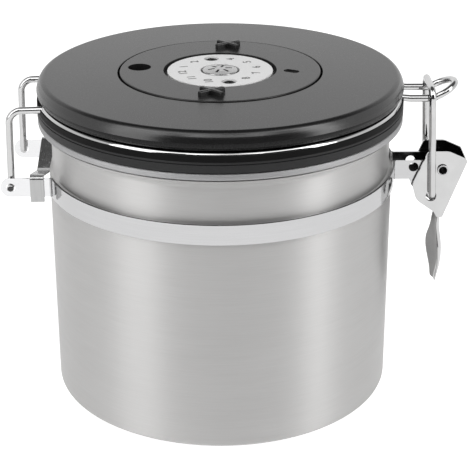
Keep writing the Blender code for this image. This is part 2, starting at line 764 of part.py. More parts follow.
def build_lever():
    # Folded channel: the cheek outline at full width, opened between the cheeks, then the finger leaf
    web_top = Vector((lever_axis.x + WEB_TOP_OUT, lever_axis.z + WEB_TOP_RISE))
    web_low = Vector((lever_axis.x + WEB_LOW_OUT, lever_axis.z - WEB_LOW_DROP))
    top_z = lever_axis.z + CHEEK_TOP_RISE
    outline = [
        (web_top, CHEEK_FILLET / 2),
        ((lever_axis.x + CHEEK_TOP_OUT, top_z), CHEEK_FILLET * 2),
        ((lever_axis.x - CHEEK_TOP_BACK, top_z), CHEEK_FILLET / 2),
        ((lever_axis.x - CHEEK_BULGE_BACK, lever_axis.z - CHEEK_BULGE_DROP), CHEEK_FILLET * 2),
        ((lever_axis.x - CHEEK_HEEL_BACK, lever_axis.z - CHEEK_HEEL_DROP), CHEEK_FILLET * 2),
        ((lever_axis.x - CHEEK_SOLE_BACK, lever_axis.z - CHEEK_SOLE_DROP), CHEEK_FILLET),
        ((web_low.x - 2 * LEVER_SHEET, web_low.y), CHEEK_FILLET / 4),
        (web_low, CHEEK_FILLET / 4),
    ]
    upright = (math.pi / 2, 0, 0)
    lever = plate("lever", [((*point, 0), fillet) for point, fillet in outline], LEVER_WIDTH, upright)
    bm = bmesh.new()
    bm.from_mesh(lever.data)
    web_length = (web_top - web_low).length
    folds = []
    for edge in bm.edges:
        in_side = abs(edge.verts[0].co.y - edge.verts[1].co.y) < MERGE_DISTANCE
        if in_side and edge.calc_length() > FOLD_SHARE * web_length and edge.calc_face_angle() > 1:
            folds.append(edge)
    bmesh.ops.bevel(bm, geom=folds, offset=LEVER_FOLD, offset_type="OFFSET",
                    segments=FILLET_STEPS, profile=0.5, affect="EDGES", material=-1)
    bm.to_mesh(lever.data)
    bm.free()
    lever.data.materials.append(chrome)

    along = (web_top - web_low).normalized()
    inward = Vector((-along.y, along.x)) * LEVER_SHEET
    far = Vector((-LEVER_WIDTH * 2, 0))
    inner_top = web_top + inward + along * web_length
    inner_low = web_low + inward - along * web_length
    channel = [inner_top, inner_top + far, inner_low + far, inner_low]
    cut(lever, plate("channel", [((*point, 0), 0) for point in channel], cheek_inner * 2, upright))

    leaf_top = web_low.y
    bm = bmesh.new()
    bmesh.ops.create_grid(bm, x_segments=LEAF_ROWS, y_segments=LEAF_COLUMNS, size=1)
    first_share = LEAF_SHARES[0][0]
    for vert in bm.verts:
        share = first_share + (1 - first_share) * (vert.co.x + 1) / 2
        half_width = LEAF_HALF_WIDTH * between_shares(LEAF_SHARES, share, 1)
        dish = LEAF_DISH * between_shares(LEAF_SHARES, share, 2)
        swell = LEAF_SWELL * between_shares(LEAF_SHARES, share, 3)
        across = vert.co.y
        height = leaf_top - share * LEAF_LENGTH
        lean = max(-share, 0) * LEAF_LENGTH * along.x / along.y
        vert.co = (web_low.x - WEB_SKIN + lean + swell - dish * across ** 2, half_width * across, height)
    mesh = bpy.data.meshes.new("leaf")
    bm.to_mesh(mesh)
    bm.free()
    leaf = add_object("leaf", mesh, parts)
    wall = leaf.modifiers.new("Wall", "SOLIDIFY")
    wall.thickness = LEAF_SHEET
    wall.offset = 1
    join(lever, as_mesh(leaf))

    pins = [(lever_axis, rivet_hole, LEVER_WIDTH * 2), (bail_axis, wire_hole, LEVER_WIDTH * 2)]
    return smooth(cut(lever, rods("holes", pins, SMALL_STEPS, "Y")))


def build_cover():
    # Skirt, soft shoulder, flat top, a well for the date ring and a hub with a chimney
    inner_radius = cover_radius - COVER_WALL
    inner_top = cover_top - COVER_WALL
    cover = turned("lid_cover", [
        ((well_radius, cover_top), COVER_EDGE / 2),
        ((cover_radius, cover_top), COVER_SHOULDER),
        ((cover_radius, cover_low), COVER_EDGE),
        ((inner_radius, cover_low), 0),
        ((inner_radius, inner_top), COVER_WALL),
        ((well_radius + WELL_WALL, inner_top), 0),
        ((well_radius + WELL_WALL, well_floor_low), 0),
        ((stem_hole, well_floor_low), 0),
        ((stem_hole, hub_top), 0),
        ((hub_radius, hub_top), 0),
        ((hub_radius, well_floor_top), 0),
        ((well_radius, well_floor_top), 0),
    ], LARGE_STEPS, black_plastic)
    boss_low = flange_top + SEAT_GAP
    boss_length = inner_top + JOIN_SINK - boss_low
    middles = around(screw_circle, SCREW_COUNT, boss_low + boss_length / 2, math.pi / SCREW_COUNT)
    join(cover, rods("bosses", [(middle, BOSS_RADIUS, boss_length) for middle in middles], SMALL_STEPS))
    hole_room = 2 * (screw_top + SEAT_GAP - boss_low)
    holes = [(Vector((m.x, m.y, boss_low)), screw_hole, hole_room) for m in middles]
    holes += [(place, dial_screw_hole, WELL_DEPTH * 2) for place in dial_screw_places(hub_top)]
    return cut(cover, rods("screw_holes", holes, HOLE_STEPS))


def build_base():
    # Plate with the plug ring below, the gasket flange, the wire collar and the valve housing
    ledge_bore = housing_bore - RETAINER_LEDGE
    ledge_top = retainer_low - SEAT_GAP
    recess_top = plate_low + GUARD_SINK
    base = turned("lid_base", [
        ((collar_radius, flange_top + COLLAR_HEIGHT), 0),
        ((collar_radius, flange_top), 0),
        ((flange_radius, flange_top), 0),
        ((flange_radius, flange_low), 0),
        ((plug_radius, flange_low), 0),
        ((plug_radius, plug_low), PLUG_FILLET),
        ((plug_bore, plug_low), PLUG_FILLET),
        ((plug_bore, plate_low), PLUG_FILLET),
        ((guard_recess, plate_low), 0),
        ((guard_recess, recess_top), 0),
        ((SEAT_HOLE_RADIUS, recess_top), 0),
        ((SEAT_HOLE_RADIUS, seat_lip_top), 0),
        ((seat_lip_radius, seat_lip_top), 0),
        ((seat_lip_radius, flange_top), 0),
        ((ledge_bore, flange_top), 0),
        ((ledge_bore, ledge_top), 0),
        ((housing_bore, ledge_top), 0),
        ((housing_bore, housing_top), 0),
        ((housing_radius, housing_top), 0),
        ((housing_radius, flange_top), 0),
        ((collar_radius - COLLAR_WALL, flange_top), 0),
        ((collar_radius - COLLAR_WALL, flange_top + COLLAR_HEIGHT), 0),
    ], LARGE_STEPS, dark_plastic)
    places = around(screw_circle, SCREW_COUNT, plate_low, math.pi / SCREW_COUNT)
    holes = [(place, screw_hole, 2 * PLATE_THICKNESS + CUT_OVERRUN) for place in places]
    recesses = [(place, SCREW_HEAD_RADIUS + SEAT_GAP, 2 * SCREW_RECESS_DEPTH) for place in places]
    cut(base, rods("screw_holes", holes, HOLE_STEPS))
    return cut(base, rods("screw_recesses", recesses, SMALL_STEPS))


def build_gasket():
    web = flange_radius + SEAT_GAP
    lip_bore = collar_radius + SEAT_GAP
    return turned("lid_gasket", [
        ((lip_bore, gasket_top), 0),
        ((gasket_radius, gasket_top), GASKET_FILLET),
        ((gasket_radius, gasket_low), 0),
        ((plug_radius + SEAT_GAP, gasket_low), 0),
        ((plug_radius + SEAT_GAP, slot_low), 0),
        ((web, slot_low), 0),
        ((web, slot_top), 0),
        ((lip_bore, slot_top), 0),
    ], LARGE_STEPS, silicone)


def build_lid_screws():
    head_low = screw_seat - SCREW_HEAD_HEIGHT
    screw = turned("screw", [
        ((0, screw_top), 0),
        ((SCREW_RADIUS, screw_top), SCREW_RADIUS / 2),
        ((SCREW_RADIUS, screw_seat), 0),
        ((SCREW_HEAD_RADIUS, screw_seat), 0),
        ((SCREW_HEAD_RADIUS, head_low), SCREW_HEAD_HEIGHT / 2),
        ((0, head_low), 0),
    ], HOLE_STEPS, closed=False)
    cut_cross(screw, head_low)
    names = [f"lid_screw_{index + 1}" for index in range(SCREW_COUNT)]
    places = around(screw_circle, SCREW_COUNT, 0, math.pi / SCREW_COUNT)
    return repeat(screw, names, [Matrix.Translation(place) for place in places], black_steel)


def build_day_plate():
    bore = hub_radius + SEAT_GAP
    rim = well_radius - SEAT_GAP
    return turned("day_plate", [
        ((bore, day_plate_top), 0),
        ((rim, day_plate_top), 0),
        ((rim, day_plate_low), 0),
        ((bore, day_plate_low), 0),
    ], LARGE_STEPS, black_plastic)


def ring_place(radius, angle, height):
    return Vector((radius * math.cos(angle + RING_TURN), radius * math.sin(angle + RING_TURN), height))


def grip_bars(name, middles, slant, clearance, height):
    # One bar of each X, wide across the ring
    size = (GRIP_LENGTH + 2 * clearance, GRIP_BAR_WIDTH + 2 * clearance, height)
    places = [(middle, math.atan2(middle.y, middle.x) + math.pi / 2 + slant) for middle in middles]
    return bars(name, places, size)


def build_date_ring():
    ring = turned("date_ring", [
        ((ring_bore, date_ring_top), RING_EDGE / 2),
        ((RING_RADIUS, date_ring_top), RING_EDGE),
        ((RING_RADIUS, date_ring_low), 0),
        ((ring_lip_bore, date_ring_low), 0),
        ((ring_lip_bore, ring_lip_top), 0),
        ((ring_bore, ring_lip_top), 0),
    ], LARGE_STEPS, grey_plastic)
    height = date_ring_top - date_ring_low
    window = ring_place(ring_middle + WINDOW_OUT, math.pi, date_ring_top)
    holes = [(window, WINDOW_RADIUS, 2 * height + CUT_OVERRUN)]
    peg_room = 2 * (GRIP_SINK + GRIP_PEG_LENGTH + 2 * SEAT_GAP)
    grip_middles = [ring_place(ring_middle, side * math.pi / 2, date_ring_top) for side in (1, -1)]
    holes += [(middle, GRIP_PEG_RADIUS + SEAT_GAP, peg_room) for middle in grip_middles]
    cut(ring, rods("holes", holes, SMALL_STEPS))
    mark = ring_place(ring_middle - MARK_IN, 0, date_ring_top)
    cut(ring, bars("mark", [(mark, RING_TURN + MARK_TURN)], (MARK_LENGTH, MARK_WIDTH, 2 * MARK_DEPTH)))
    for slant in (-GRIP_CROSS, GRIP_CROSS):
        cut(ring, grip_bars("pocket", grip_middles, slant, SEAT_GAP, 2 * (GRIP_SINK + SEAT_GAP)))
    return ring


def build_grips():
    low = date_ring_top - GRIP_SINK
    height = GRIP_SINK + GRIP_HEIGHT
    middle = ring_place(ring_middle, math.pi / 2, low + height / 2)
    grip = grip_bars("grip", [middle], -GRIP_CROSS, 0, height)
    join(grip, grip_bars("bar", [middle], GRIP_CROSS, 0, height))
    peg_middle = Vector((middle.x, middle.y, low - GRIP_PEG_LENGTH / 2 + JOIN_SINK / 2))
    join(grip, rods("peg", [(peg_middle, GRIP_PEG_RADIUS, GRIP_PEG_LENGTH + JOIN_SINK)], HOLE_STEPS))
    bevel = grip.modifiers.new("Edges", "BEVEL")
    bevel.width = GRIP_EDGE
    bevel.segments = 1
    bevel.limit_method = "ANGLE"
    moves = [Matrix(), Matrix.Rotation(math.pi, 4, "Z")]
    return repeat(grip, ("ring_grip_rear", "ring_grip_front"), moves, gloss_black)


def dial_screw_places(height):
    return around(dial_screw_circle, 2, height, DIAL_TURN + math.pi / 2)


def build_dial():
    dial = turned("dial_plate", [
        ((cap_hole, dial_top), 0),
        ((DIAL_RADIUS, dial_top), DIAL_EDGE),
        ((DIAL_RADIUS, dial_low), 0),
        ((cap_hole, dial_low), 0),
    ], LARGE_STEPS, silver_plastic)
    recess_height = 2 * (DIAL_THICKNESS - DIAL_SCREW_SEAT)
    places = dial_screw_places(dial_top)
    cut(dial, rods("recess", [(place, DIAL_RECESS_RADIUS, recess_height) for place in places], SMALL_STEPS))
    through = 2 * DIAL_THICKNESS + CUT_OVERRUN
    return cut(dial, rods("holes", [(p, dial_screw_hole, through) for p in places], HOLE_STEPS))


def build_dial_screws():
    head_low = dial_low + DIAL_SCREW_SEAT + SEAT_GAP
    head_top = head_low + DIAL_SCREW_HEAD_HEIGHT
    screw = turned("screw", [
        ((0, head_top), 0),
        ((DIAL_SCREW_HEAD_RADIUS, head_top), DIAL_SCREW_HEAD_HEIGHT / 2),
        ((DIAL_SCREW_HEAD_RADIUS, head_low), 0),
        ((DIAL_SCREW_RADIUS, head_low), 0),
        ((DIAL_SCREW_RADIUS, head_low - DIAL_SCREW_LENGTH), 0),
        ((0, head_low - DIAL_SCREW_LENGTH), 0),
    ], SMALL_STEPS, closed=False)
    cut_cross(screw, head_top)
    moves = [Matrix.Translation(place) for place in dial_screw_places(0)]
    return repeat(screw, ("dial_screw_rear", "dial_screw_front"), moves, black_steel)


def build_vent_cap():
    cap_top = dial_low + CAP_THICKNESS
    stem_low = dial_low - CAP_STEM_LENGTH
    roof_low = cap_top - CAP_ROOF
    cap = turned("vent_cap", [
        ((0, cap_top + CAP_DOME), 0),
        ((CAP_RADIUS / 2, cap_top + CAP_DOME * CAP_DOME_SHARE), 0),
        ((CAP_RADIUS, cap_top), CAP_EDGE),
        ((CAP_RADIUS, dial_low), 0),
        ((CAP_STEM_RADIUS, dial_low), 0),
        ((CAP_STEM_RADIUS, stem_low), 0),
        ((CAP_BORE_RADIUS, stem_low), 0),
        ((CAP_BORE_RADIUS, roof_low), 0),
        ((0, roof_low), 0),
    ], MEDIUM_STEPS, silver_plastic, closed=False)
    slots = []
    for place in around(CAP_SLOT_CIRCLE, CAP_SLOT_COUNT, cap_top, DIAL_TURN):
        slots.append((place, math.atan2(place.y, place.x)))
    size = (CAP_SLOT_LENGTH, CAP_SLOT_WIDTH, 2 * (CAP_ROOF + CAP_DOME))
    return cut(cap, bars("slots", slots, size))


def build_valve_disc():
    return turned("valve_disc", [
        ((0, valve_top), 0),
        ((VALVE_DISC_RADIUS, valve_top), VALVE_DISC_EDGE),
        ((VALVE_DISC_RADIUS, valve_low), VALVE_DISC_EDGE),
        ((0, valve_low), 0),
    ], SMALL_STEPS, silicone, closed=False)


def build_retainer():
    retainer = turned("valve_retainer", [
        ((0, retainer_top), 0),
        ((RETAINER_RADIUS, retainer_top), 0),
        ((RETAINER_RADIUS, retainer_low), 0),
        ((0, retainer_low), 0),
    ], MEDIUM_STEPS, dark_plastic, closed=False)
    places = around(RETAINER_HOLE_CIRCLE, RETAINER_HOLE_COUNT, retainer_low)
    through = 2 * RETAINER_THICKNESS + CUT_OVERRUN
    return cut(retainer, rods("vents", [(p, RETAINER_HOLE_RADIUS, through) for p in places], HOLE_STEPS))


def build_guard():
    guard_top = plate_low + GUARD_SINK - SEAT_GAP
    guard_low = guard_top - GUARD_THICKNESS
    guard = turned("valve_guard", [
        ((0, guard_top), 0),
        ((GUARD_RADIUS, guard_top), 0),
        ((GUARD_RADIUS, guard_low), GUARD_EDGE),
        ((0, guard_low), 0),
    ], MEDIUM_STEPS, dark_plastic, closed=False)
    places = around(GUARD_HOLE_CIRCLE, GUARD_HOLE_COUNT, guard_low)
    through = 2 * GUARD_THICKNESS + CUT_OVERRUN
    return cut(guard, rods("vents", [(p, GUARD_HOLE_RADIUS, through) for p in places], HOLE_STEPS))


clear_scene()
parts = make_collection("coffee_canister")
cutters = make_collection("cutters")

brushed_steel = make_material("brushed_steel", (0.62, 0.61, 0.60), 0.34, 1.0)
polished_steel = make_material("polished_steel", (0.78, 0.78, 0.80), 0.10, 1.0)
satin_steel = make_material("satin_steel", (0.55, 0.55, 0.55), 0.38, 1.0)
chrome = make_material("chrome", (0.80, 0.80, 0.80), 0.06, 1.0)
black_plastic = make_material("black_plastic", (0.045, 0.044, 0.046), 0.42, 0.0)
dark_plastic = make_material("dark_plastic", (0.030, 0.030, 0.032), 0.45, 0.0)
grey_plastic = make_material("grey_plastic", (0.050, 0.049, 0.051), 0.45, 0.0)
gloss_black = make_material("gloss_black", (0.012, 0.012, 0.012), 0.30, 0.0)
silver_plastic = make_material("silver_plastic", (0.62, 0.62, 0.62), 0.40, 0.0)
silicone = make_material("silicone", (0.040, 0.040, 0.042), 0.60, 0.0)
black_steel = make_material("black_steel", (0.020, 0.020, 0.022), 0.30, 0.8)

lid_turn = add_axis("lid_hinge", hinge_axis)
ring_turn = add_axis("date_ring_spin", ring_axis, lid_turn)
valve_slide = add_axis("valve_lift", valve_axis, lid_turn)
lever_turn = add_axis("lever_pivot", lever_axis)
bail_turn = add_axis("bail_pivot", bail_axis, lever_turn)

build_can()
build_band("band_front", -1)
build_band("band_rear", 1)
build_clip()
build_rivet()
for lid_piece in [build_cover(), build_base(), build_gasket(), build_lid_wire(), *build_lid_screws(),
                  build_day_plate(), build_dial(), *build_dial_screws(), build_vent_cap(),
                  build_retainer(), build_guard()]:
    carry(lid_piece, lid_turn)
carry(build_valve_disc(), valve_slide)
carry(build_date_ring(), ring_turn)
for ring_piece in build_grips():
    carry(ring_piece, ring_turn)
carry(build_lever(), lever_turn)
carry(build_bail(), bail_turn)
bpy.context.view_layer.update()
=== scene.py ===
import math

import bmesh
import bpy
from mathutils import Matrix, Vector


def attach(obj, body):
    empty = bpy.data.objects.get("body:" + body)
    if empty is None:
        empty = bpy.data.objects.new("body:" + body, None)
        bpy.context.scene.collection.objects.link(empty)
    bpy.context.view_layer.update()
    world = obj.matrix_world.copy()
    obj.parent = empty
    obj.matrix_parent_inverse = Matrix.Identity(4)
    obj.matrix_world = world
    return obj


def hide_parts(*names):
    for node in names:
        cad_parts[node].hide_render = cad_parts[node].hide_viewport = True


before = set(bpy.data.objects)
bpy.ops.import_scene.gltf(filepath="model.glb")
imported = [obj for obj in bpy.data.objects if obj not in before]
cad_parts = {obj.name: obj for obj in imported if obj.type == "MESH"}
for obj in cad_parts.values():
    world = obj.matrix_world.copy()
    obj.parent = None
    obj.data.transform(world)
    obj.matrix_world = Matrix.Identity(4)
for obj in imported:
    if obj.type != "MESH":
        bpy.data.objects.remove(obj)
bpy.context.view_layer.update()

# Coffee canister with a clamp lid. Sizes are in millimetres and degrees, and a piece is scaled to
# metres when it is kept. +X is the clamp side, -X the hinge side, and the camera looks from -Y.

millimetre = 0.001
weld = 0.002  # places closer than this are one place
sideShare = 0.48  # the most of a side that one rounding may take
squareOn = 0.9  # a face looks along an axis when its normal reaches this far along it

heights = {
    "bandLow": 77.2, "bandTop": 84.1, "shoulder": 82.3, "neck": 83.4, "rimLow": 100.5, "rimTop": 102.7,
    "gasketLow": 103.0, "flangeLow": 104.7, "flangeTop": 105.7, "gasketTop": 106.75,
    "wire": 108.15, "wireRing": 108.5, "wellFloor": 112.5, "ringLow": 113.8, "ringTop": 117.2,
    "dialLow": 115.1, "dialTop": 117.0, "coverTop": 116.9,
}
hingeAxis = Vector((-73.5, 0, 80.65))
leverAxis = Vector((79.4, 0, 81.4))
bailAxis = Vector((75.8, 0, 71.9))
ringTurn = math.radians(-6)
dialTurn = math.radians(13)


# Mesh tools

def newObject(name, data):
    thing = bpy.data.objects.new(name, data)
    bpy.context.scene.collection.objects.link(thing)
    return thing


def meshObject(bm, name):
    mesh = bpy.data.meshes.new(name)
    bm.to_mesh(mesh)
    bm.free()
    return newObject(name, mesh)


def vertsOf(parts):
    return [part for part in parts if isinstance(part, bmesh.types.BMVert)]


def roundEdges(bm, edges, width, segments):
    bmesh.ops.bevel(bm, geom=edges, offset=width, offset_type="OFFSET", segments=segments,
                    profile=0.5, affect="EDGES", material=-1)


def drawLine(bm, corners, closed=False):
    # Corners are (place, bend radius), and each comes back as (vertex, bend radius)
    verts = [bm.verts.new(place) for place, bend in corners]
    for one, other in zip(verts, verts[1:] + (verts[:1] if closed else [])):
        bm.edges.new((one, other))
    return [(vert, bend) for vert, (place, bend) in zip(verts, corners)]


def roundCorners(bm, corners, segments=6):
    # Every reach is measured before the first corner is cut
    jobs = []
    for vert, bend in corners:
        if bend:
            one, other = [edge.other_vert(vert).co - vert.co for edge in vert.link_edges]
            reach = bend / math.tan(one.angle(other) / 2)
            jobs.append((vert, min(reach, sideShare * one.length, sideShare * other.length)))
    for vert, reach in jobs:
        bmesh.ops.bevel(bm, geom=[vert], offset=reach, offset_type="OFFSET", segments=segments,
                        profile=0.5, affect="VERTICES", material=-1)


def turnProfile(corners, steps, segments=6, closed=True):
    # Corners are (radius, height, rounding), turned about Z
    bm = bmesh.new()
    line = drawLine(bm, [((radius, 0, height), bend) for radius, height, bend in corners], closed)
    roundCorners(bm, line, segments)
    bmesh.ops.spin(bm, geom=bm.verts[:] + bm.edges[:], cent=(0, 0, 0), axis=(0, 0, 1),
                   angle=2 * math.pi, steps=steps, use_merge=True)
    bmesh.ops.remove_doubles(bm, verts=bm.verts, dist=weld)
    bmesh.ops.recalc_face_normals(bm, faces=bm.faces)
    return bm


def walkLine(start):
    # The places along a drawn line, from one open end to the other
    places = [start.co.copy()]
    edge = start.link_edges[0]
    vert = edge.other_vert(start)
    while True:
        places.append(vert.co.copy())
        onward = [link for link in vert.link_edges if link != edge]
        if not onward:
            return places
        edge = onward[0]
        vert = edge.other_vert(vert)


def drawWire(places, thickness, sides=20, endRound=0.2):
    # A round wire swept along its places; the far end is closed with a soft edge
    bm = bmesh.new()
    heading = (places[1] - places[0]).normalized()
    seat = Matrix.Translation(places[0]) @ heading.to_track_quat("Z", "X").to_matrix().to_4x4()
    bmesh.ops.create_circle(bm, segments=sides, radius=thickness / 2, matrix=seat)
    edges = bm.edges[:]
    last = len(places) - 1
    for index in range(1, last + 1):
        grown = bmesh.ops.extrude_edge_only(bm, edges=edges)["geom"]
        verts = vertsOf(grown)
        edges = [part for part in grown if isinstance(part, bmesh.types.BMEdge)
                 and all(vert in verts for vert in part.verts)]
        step = places[index] - places[index - 1]
        bmesh.ops.translate(bm, vec=step, verts=verts)
        after = (places[min(index + 1, last)] - places[min(index, last - 1)]).normalized()
        onward = (step.normalized() + after).normalized()
        bmesh.ops.rotate(bm, cent=places[index], verts=verts,
                         matrix=heading.rotation_difference(onward).to_matrix())
        heading = onward
    cap = bmesh.ops.contextual_create(bm, geom=edges)["faces"][0]
    roundEdges(bm, cap.edges[:], thickness * endRound, segments=3)
    return bm


def mirrorAcross(bm):
    # The other half, across Y
    bmesh.ops.mirror(bm, geom=bm.verts[:] + bm.edges[:] + bm.faces[:], merge_dist=weld, axis="Y")
    bmesh.ops.recalc_face_normals(bm, faces=bm.faces)
    return bm


def raiseLine(bm, reach):
    # A drawn line pulled into a strip
    grown = bmesh.ops.extrude_edge_only(bm, edges=bm.edges[:])["geom"]
    bmesh.ops.translate(bm, vec=reach, verts=vertsOf(grown))
    bmesh.ops.recalc_face_normals(bm, faces=bm.faces)
    return bm


def prism(corners, reach, segments=6):
    # A closed outline filled and pulled into a solid
    bm = bmesh.new()
    roundCorners(bm, drawLine(bm, corners, True), segments)
    face = bmesh.ops.contextual_create(bm, geom=bm.edges[:])["faces"][0]
    grown = bmesh.ops.extrude_face_region(bm, geom=[face])["geom"]
    bmesh.ops.translate(bm, vec=reach, verts=vertsOf(grown))
    bmesh.ops.recalc_face_normals(bm, faces=bm.faces)
    return bm


def pins(places, radius, length, axis="Z", sides=48):
    bm = bmesh.new()
    turn = Matrix.Rotation(math.pi / 2, 4, "X") if axis == "Y" else Matrix()
    for place in places:
        bmesh.ops.create_cone(bm, cap_ends=True, segments=sides, radius1=radius, radius2=radius,
                              depth=length, matrix=Matrix.Translation(Vector(place)) @ turn)
    return bm


def bar(place, turn, size):
    bm = bmesh.new()
    seat = Matrix.Translation(Vector(place)) @ Matrix.Rotation(turn, 4, "Z")
    bmesh.ops.create_cube(bm, size=1, matrix=seat @ Matrix.Diagonal((*size, 1)))
    return bm


def shapedBy(bm, kind, tool=None, **settings):
    # The mesh after one modifier, with a tool for a cut or a join
    piece = meshObject(bm, "loose")
    modifier = piece.modifiers.new(kind, kind)
    for key, value in settings.items():
        setattr(modifier, key, value)
    helper = meshObject(tool, "loose") if tool else None
    if helper:
        modifier.object = helper
        modifier.solver = "EXACT"
    bpy.context.view_layer.update()
    shaped = bmesh.new()
    shaped.from_object(piece, bpy.context.evaluated_depsgraph_get())
    bpy.data.objects.remove(piece, do_unlink=True)
    if helper:
        bpy.data.objects.remove(helper, do_unlink=True)
    return shaped


def cutOut(bm, *tools):
    for tool in tools:
        bm = shapedBy(bm, "BOOLEAN", tool, operation="DIFFERENCE")
    return bm


def joinOn(bm, *tools):
    for tool in tools:
        bm = shapedBy(bm, "BOOLEAN", tool, operation="UNION")
    return bm


def thicken(bm, sheet, offset=0):
    return shapedBy(bm, "SOLIDIFY", thickness=sheet, offset=offset, use_even_offset=True)


def softEdges(bm, width, angle=40):
    return shapedBy(bm, "BEVEL", width=width, segments=2, limit_method="ANGLE",
                    angle_limit=math.radians(angle), use_clamp_overlap=True, miter_outer="MITER_ARC")


def keepPiece(bm, name, finish, body, stands=(), sharp=35):
    bmesh.ops.remove_doubles(bm, verts=bm.verts, dist=weld / 4)
    bmesh.ops.scale(bm, vec=(millimetre, millimetre, millimetre), verts=bm.verts)
    piece = meshObject(bm, name)
    piece.data.materials.append(finish)
    piece.data.shade_smooth()
    piece.data.set_sharp_from_angle(angle=math.radians(sharp))
    even = piece.modifiers.new("evenShade", "WEIGHTED_NORMAL")
    even.keep_sharp = True
    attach(piece, body)
    if stands:
        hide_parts(*stands)
    return piece


def addFinish(piece, finish, chosen):
    # Another finish on the faces that the test takes, by their place in millimetres and direction
    piece.data.materials.append(finish)
    for face in piece.data.polygons:
        if chosen(face.center / millimetre, face.normal):
            face.material_index = len(piece.data.materials) - 1


# Camera at the photograph's viewing angle, its place in metres and its angles in radians

view = {"place": (0, -0.4952, 0.2720), "down": 0.4158, "roll": -0.0061, "lens": 112.13, "sensor": 36,
        "shift": 0.0296}

cameraData = bpy.data.cameras.new("productCamera")
cameraData.lens = view["lens"]
cameraData.sensor_width = view["sensor"]
cameraData.shift_x = view["shift"]
camera = newObject("productCamera", cameraData)
camera.location = view["place"]
tilt = Matrix.Rotation(math.pi / 2 - view["down"], 3, "X") @ Matrix.Rotation(view["roll"], 3, "Z")
camera.rotation_euler = tilt.to_euler()
bpy.context.scene.camera = camera
print("camera ready")


# Finishes: a look gives the two tones and the span of roughness that noise runs between, the
# scales of that noise, and a bump as (distance in metres, strength)

def grey(tone):
    return (tone, tone, tone)


def startFinish(name, look, metallic=0.0, gloss=0.5):
    finish = bpy.data.materials.new(name)
    finish.use_nodes = True
    finish.diffuse_color = (*look["light"], 1)
    shader = finish.node_tree.nodes["Principled BSDF"]
    shader.inputs["Base Color"].default_value = (*look["light"], 1)
    shader.inputs["Metallic"].default_value = metallic
    shader.inputs["Roughness"].default_value = sum(look["roughness"]) / 2
    shader.inputs["Specular IOR Level"].default_value = gloss
    return finish, finish.node_tree, shader


def addNoise(tree, scale=1.0, stretch=(1, 1, 1), detail=2.0, rough=0.5):
    # Noise on object coordinates, stretched by a mapping
    coords = tree.nodes.new("ShaderNodeTexCoord")
    mapping = tree.nodes.new("ShaderNodeMapping")
    mapping.inputs["Scale"].default_value = stretch
    noise = tree.nodes.new("ShaderNodeTexNoise")
    noise.inputs["Scale"].default_value = scale
    noise.inputs["Detail"].default_value = detail
    noise.inputs["Roughness"].default_value = rough
    tree.links.new(coords.outputs["Object"], mapping.inputs["Vector"])
    tree.links.new(mapping.outputs["Vector"], noise.inputs["Vector"])
    return noise.outputs["Fac"]


def addRange(tree, source, spread, span=(0.3, 0.7)):
    # While the source runs over the span, the result runs over the spread
    fit = tree.nodes.new("ShaderNodeMapRange")
    fit.inputs["From Min"].default_value, fit.inputs["From Max"].default_value = span
    fit.inputs["To Min"].default_value, fit.inputs["To Max"].default_value = spread
    tree.links.new(source, fit.inputs["Value"])
    return fit.outputs["Result"]


def addTint(tree, source, look, shader):
    mix = tree.nodes.new("ShaderNodeMix")
    mix.data_type = "RGBA"
    mix.inputs["A"].default_value = (*look["dark"], 1)
    mix.inputs["B"].default_value = (*look["light"], 1)
    tree.links.new(addRange(tree, source, (0, 1)), mix.inputs["Factor"])
    tree.links.new(mix.outputs["Result"], shader.inputs["Base Color"])


def addRoughness(tree, source, look, shader):
    tree.links.new(addRange(tree, source, look["roughness"]), shader.inputs["Roughness"])


def addBump(tree, source, look, shader):
    bump = tree.nodes.new("ShaderNodeBump")
    bump.inputs["Distance"].default_value, bump.inputs["Strength"].default_value = look["bump"]
    tree.links.new(source, bump.inputs["Height"])
    tree.links.new(bump.outputs["Normal"], shader.inputs["Normal"])


def brushedFinish():
    look = {"dark": (0.555, 0.55, 0.545), "light": (0.59, 0.585, 0.58), "roughness": (0.46, 0.50),
            "lines": (90, 90, 7000), "clouds": (30, 30, 500), "bump": (0.0000012, 0.4),
            "streak": 0.85, "streakTurn": 0.25}
    finish, tree, shader = startFinish("brushedSteel", look, metallic=1.0)
    lines = addNoise(tree, stretch=look["lines"], rough=0.6)
    addTint(tree, lines, look, shader)
    addBump(tree, lines, look, shader)
    addRoughness(tree, addNoise(tree, stretch=look["clouds"]), look, shader)
    shader.inputs["Anisotropic"].default_value = look["streak"]
    shader.inputs["Anisotropic Rotation"].default_value = look["streakTurn"]
    tangent = tree.nodes.new("ShaderNodeTangent")
    tangent.direction_type = "RADIAL"
    tangent.axis = "Z"
    tree.links.new(tangent.outputs["Tangent"], shader.inputs["Tangent"])
    return finish


def polishedFinish(name, dark, light, roughness):
    # Rolled and polished sheet, a trace bluer than grey
    blue = 1.01
    look = {"dark": (dark, dark, dark * blue), "light": (light, light, light * blue),
            "roughness": roughness, "rolling": (60, 60, 4000), "smudges": 140}
    finish, tree, shader = startFinish(name, look, metallic=1.0)
    addTint(tree, addNoise(tree, stretch=look["rolling"]), look, shader)
    addRoughness(tree, addNoise(tree, look["smudges"]), look, shader)
    return finish


def satinFinish():
    look = {"dark": grey(0.42), "light": grey(0.50), "roughness": (0.20, 0.28),
            "grain": (2600, 400, 60), "bump": (0.000003, 0.4)}
    finish, tree, shader = startFinish("satinSteel", look, metallic=1.0)
    grain = addNoise(tree, stretch=look["grain"], detail=3.0)
    addTint(tree, grain, look, shader)
    addRoughness(tree, grain, look, shader)
    addBump(tree, grain, look, shader)
    return finish


def chromeFinish():
    look = {"dark": grey(0.57), "light": grey(0.61), "roughness": (0.03, 0.07), "smudges": 160}
    finish, tree, shader = startFinish("chrome", look, metallic=1.0)
    smudges = addNoise(tree, look["smudges"], detail=3.0)
    addTint(tree, smudges, look, shader)
    addRoughness(tree, smudges, look, shader)
    return finish


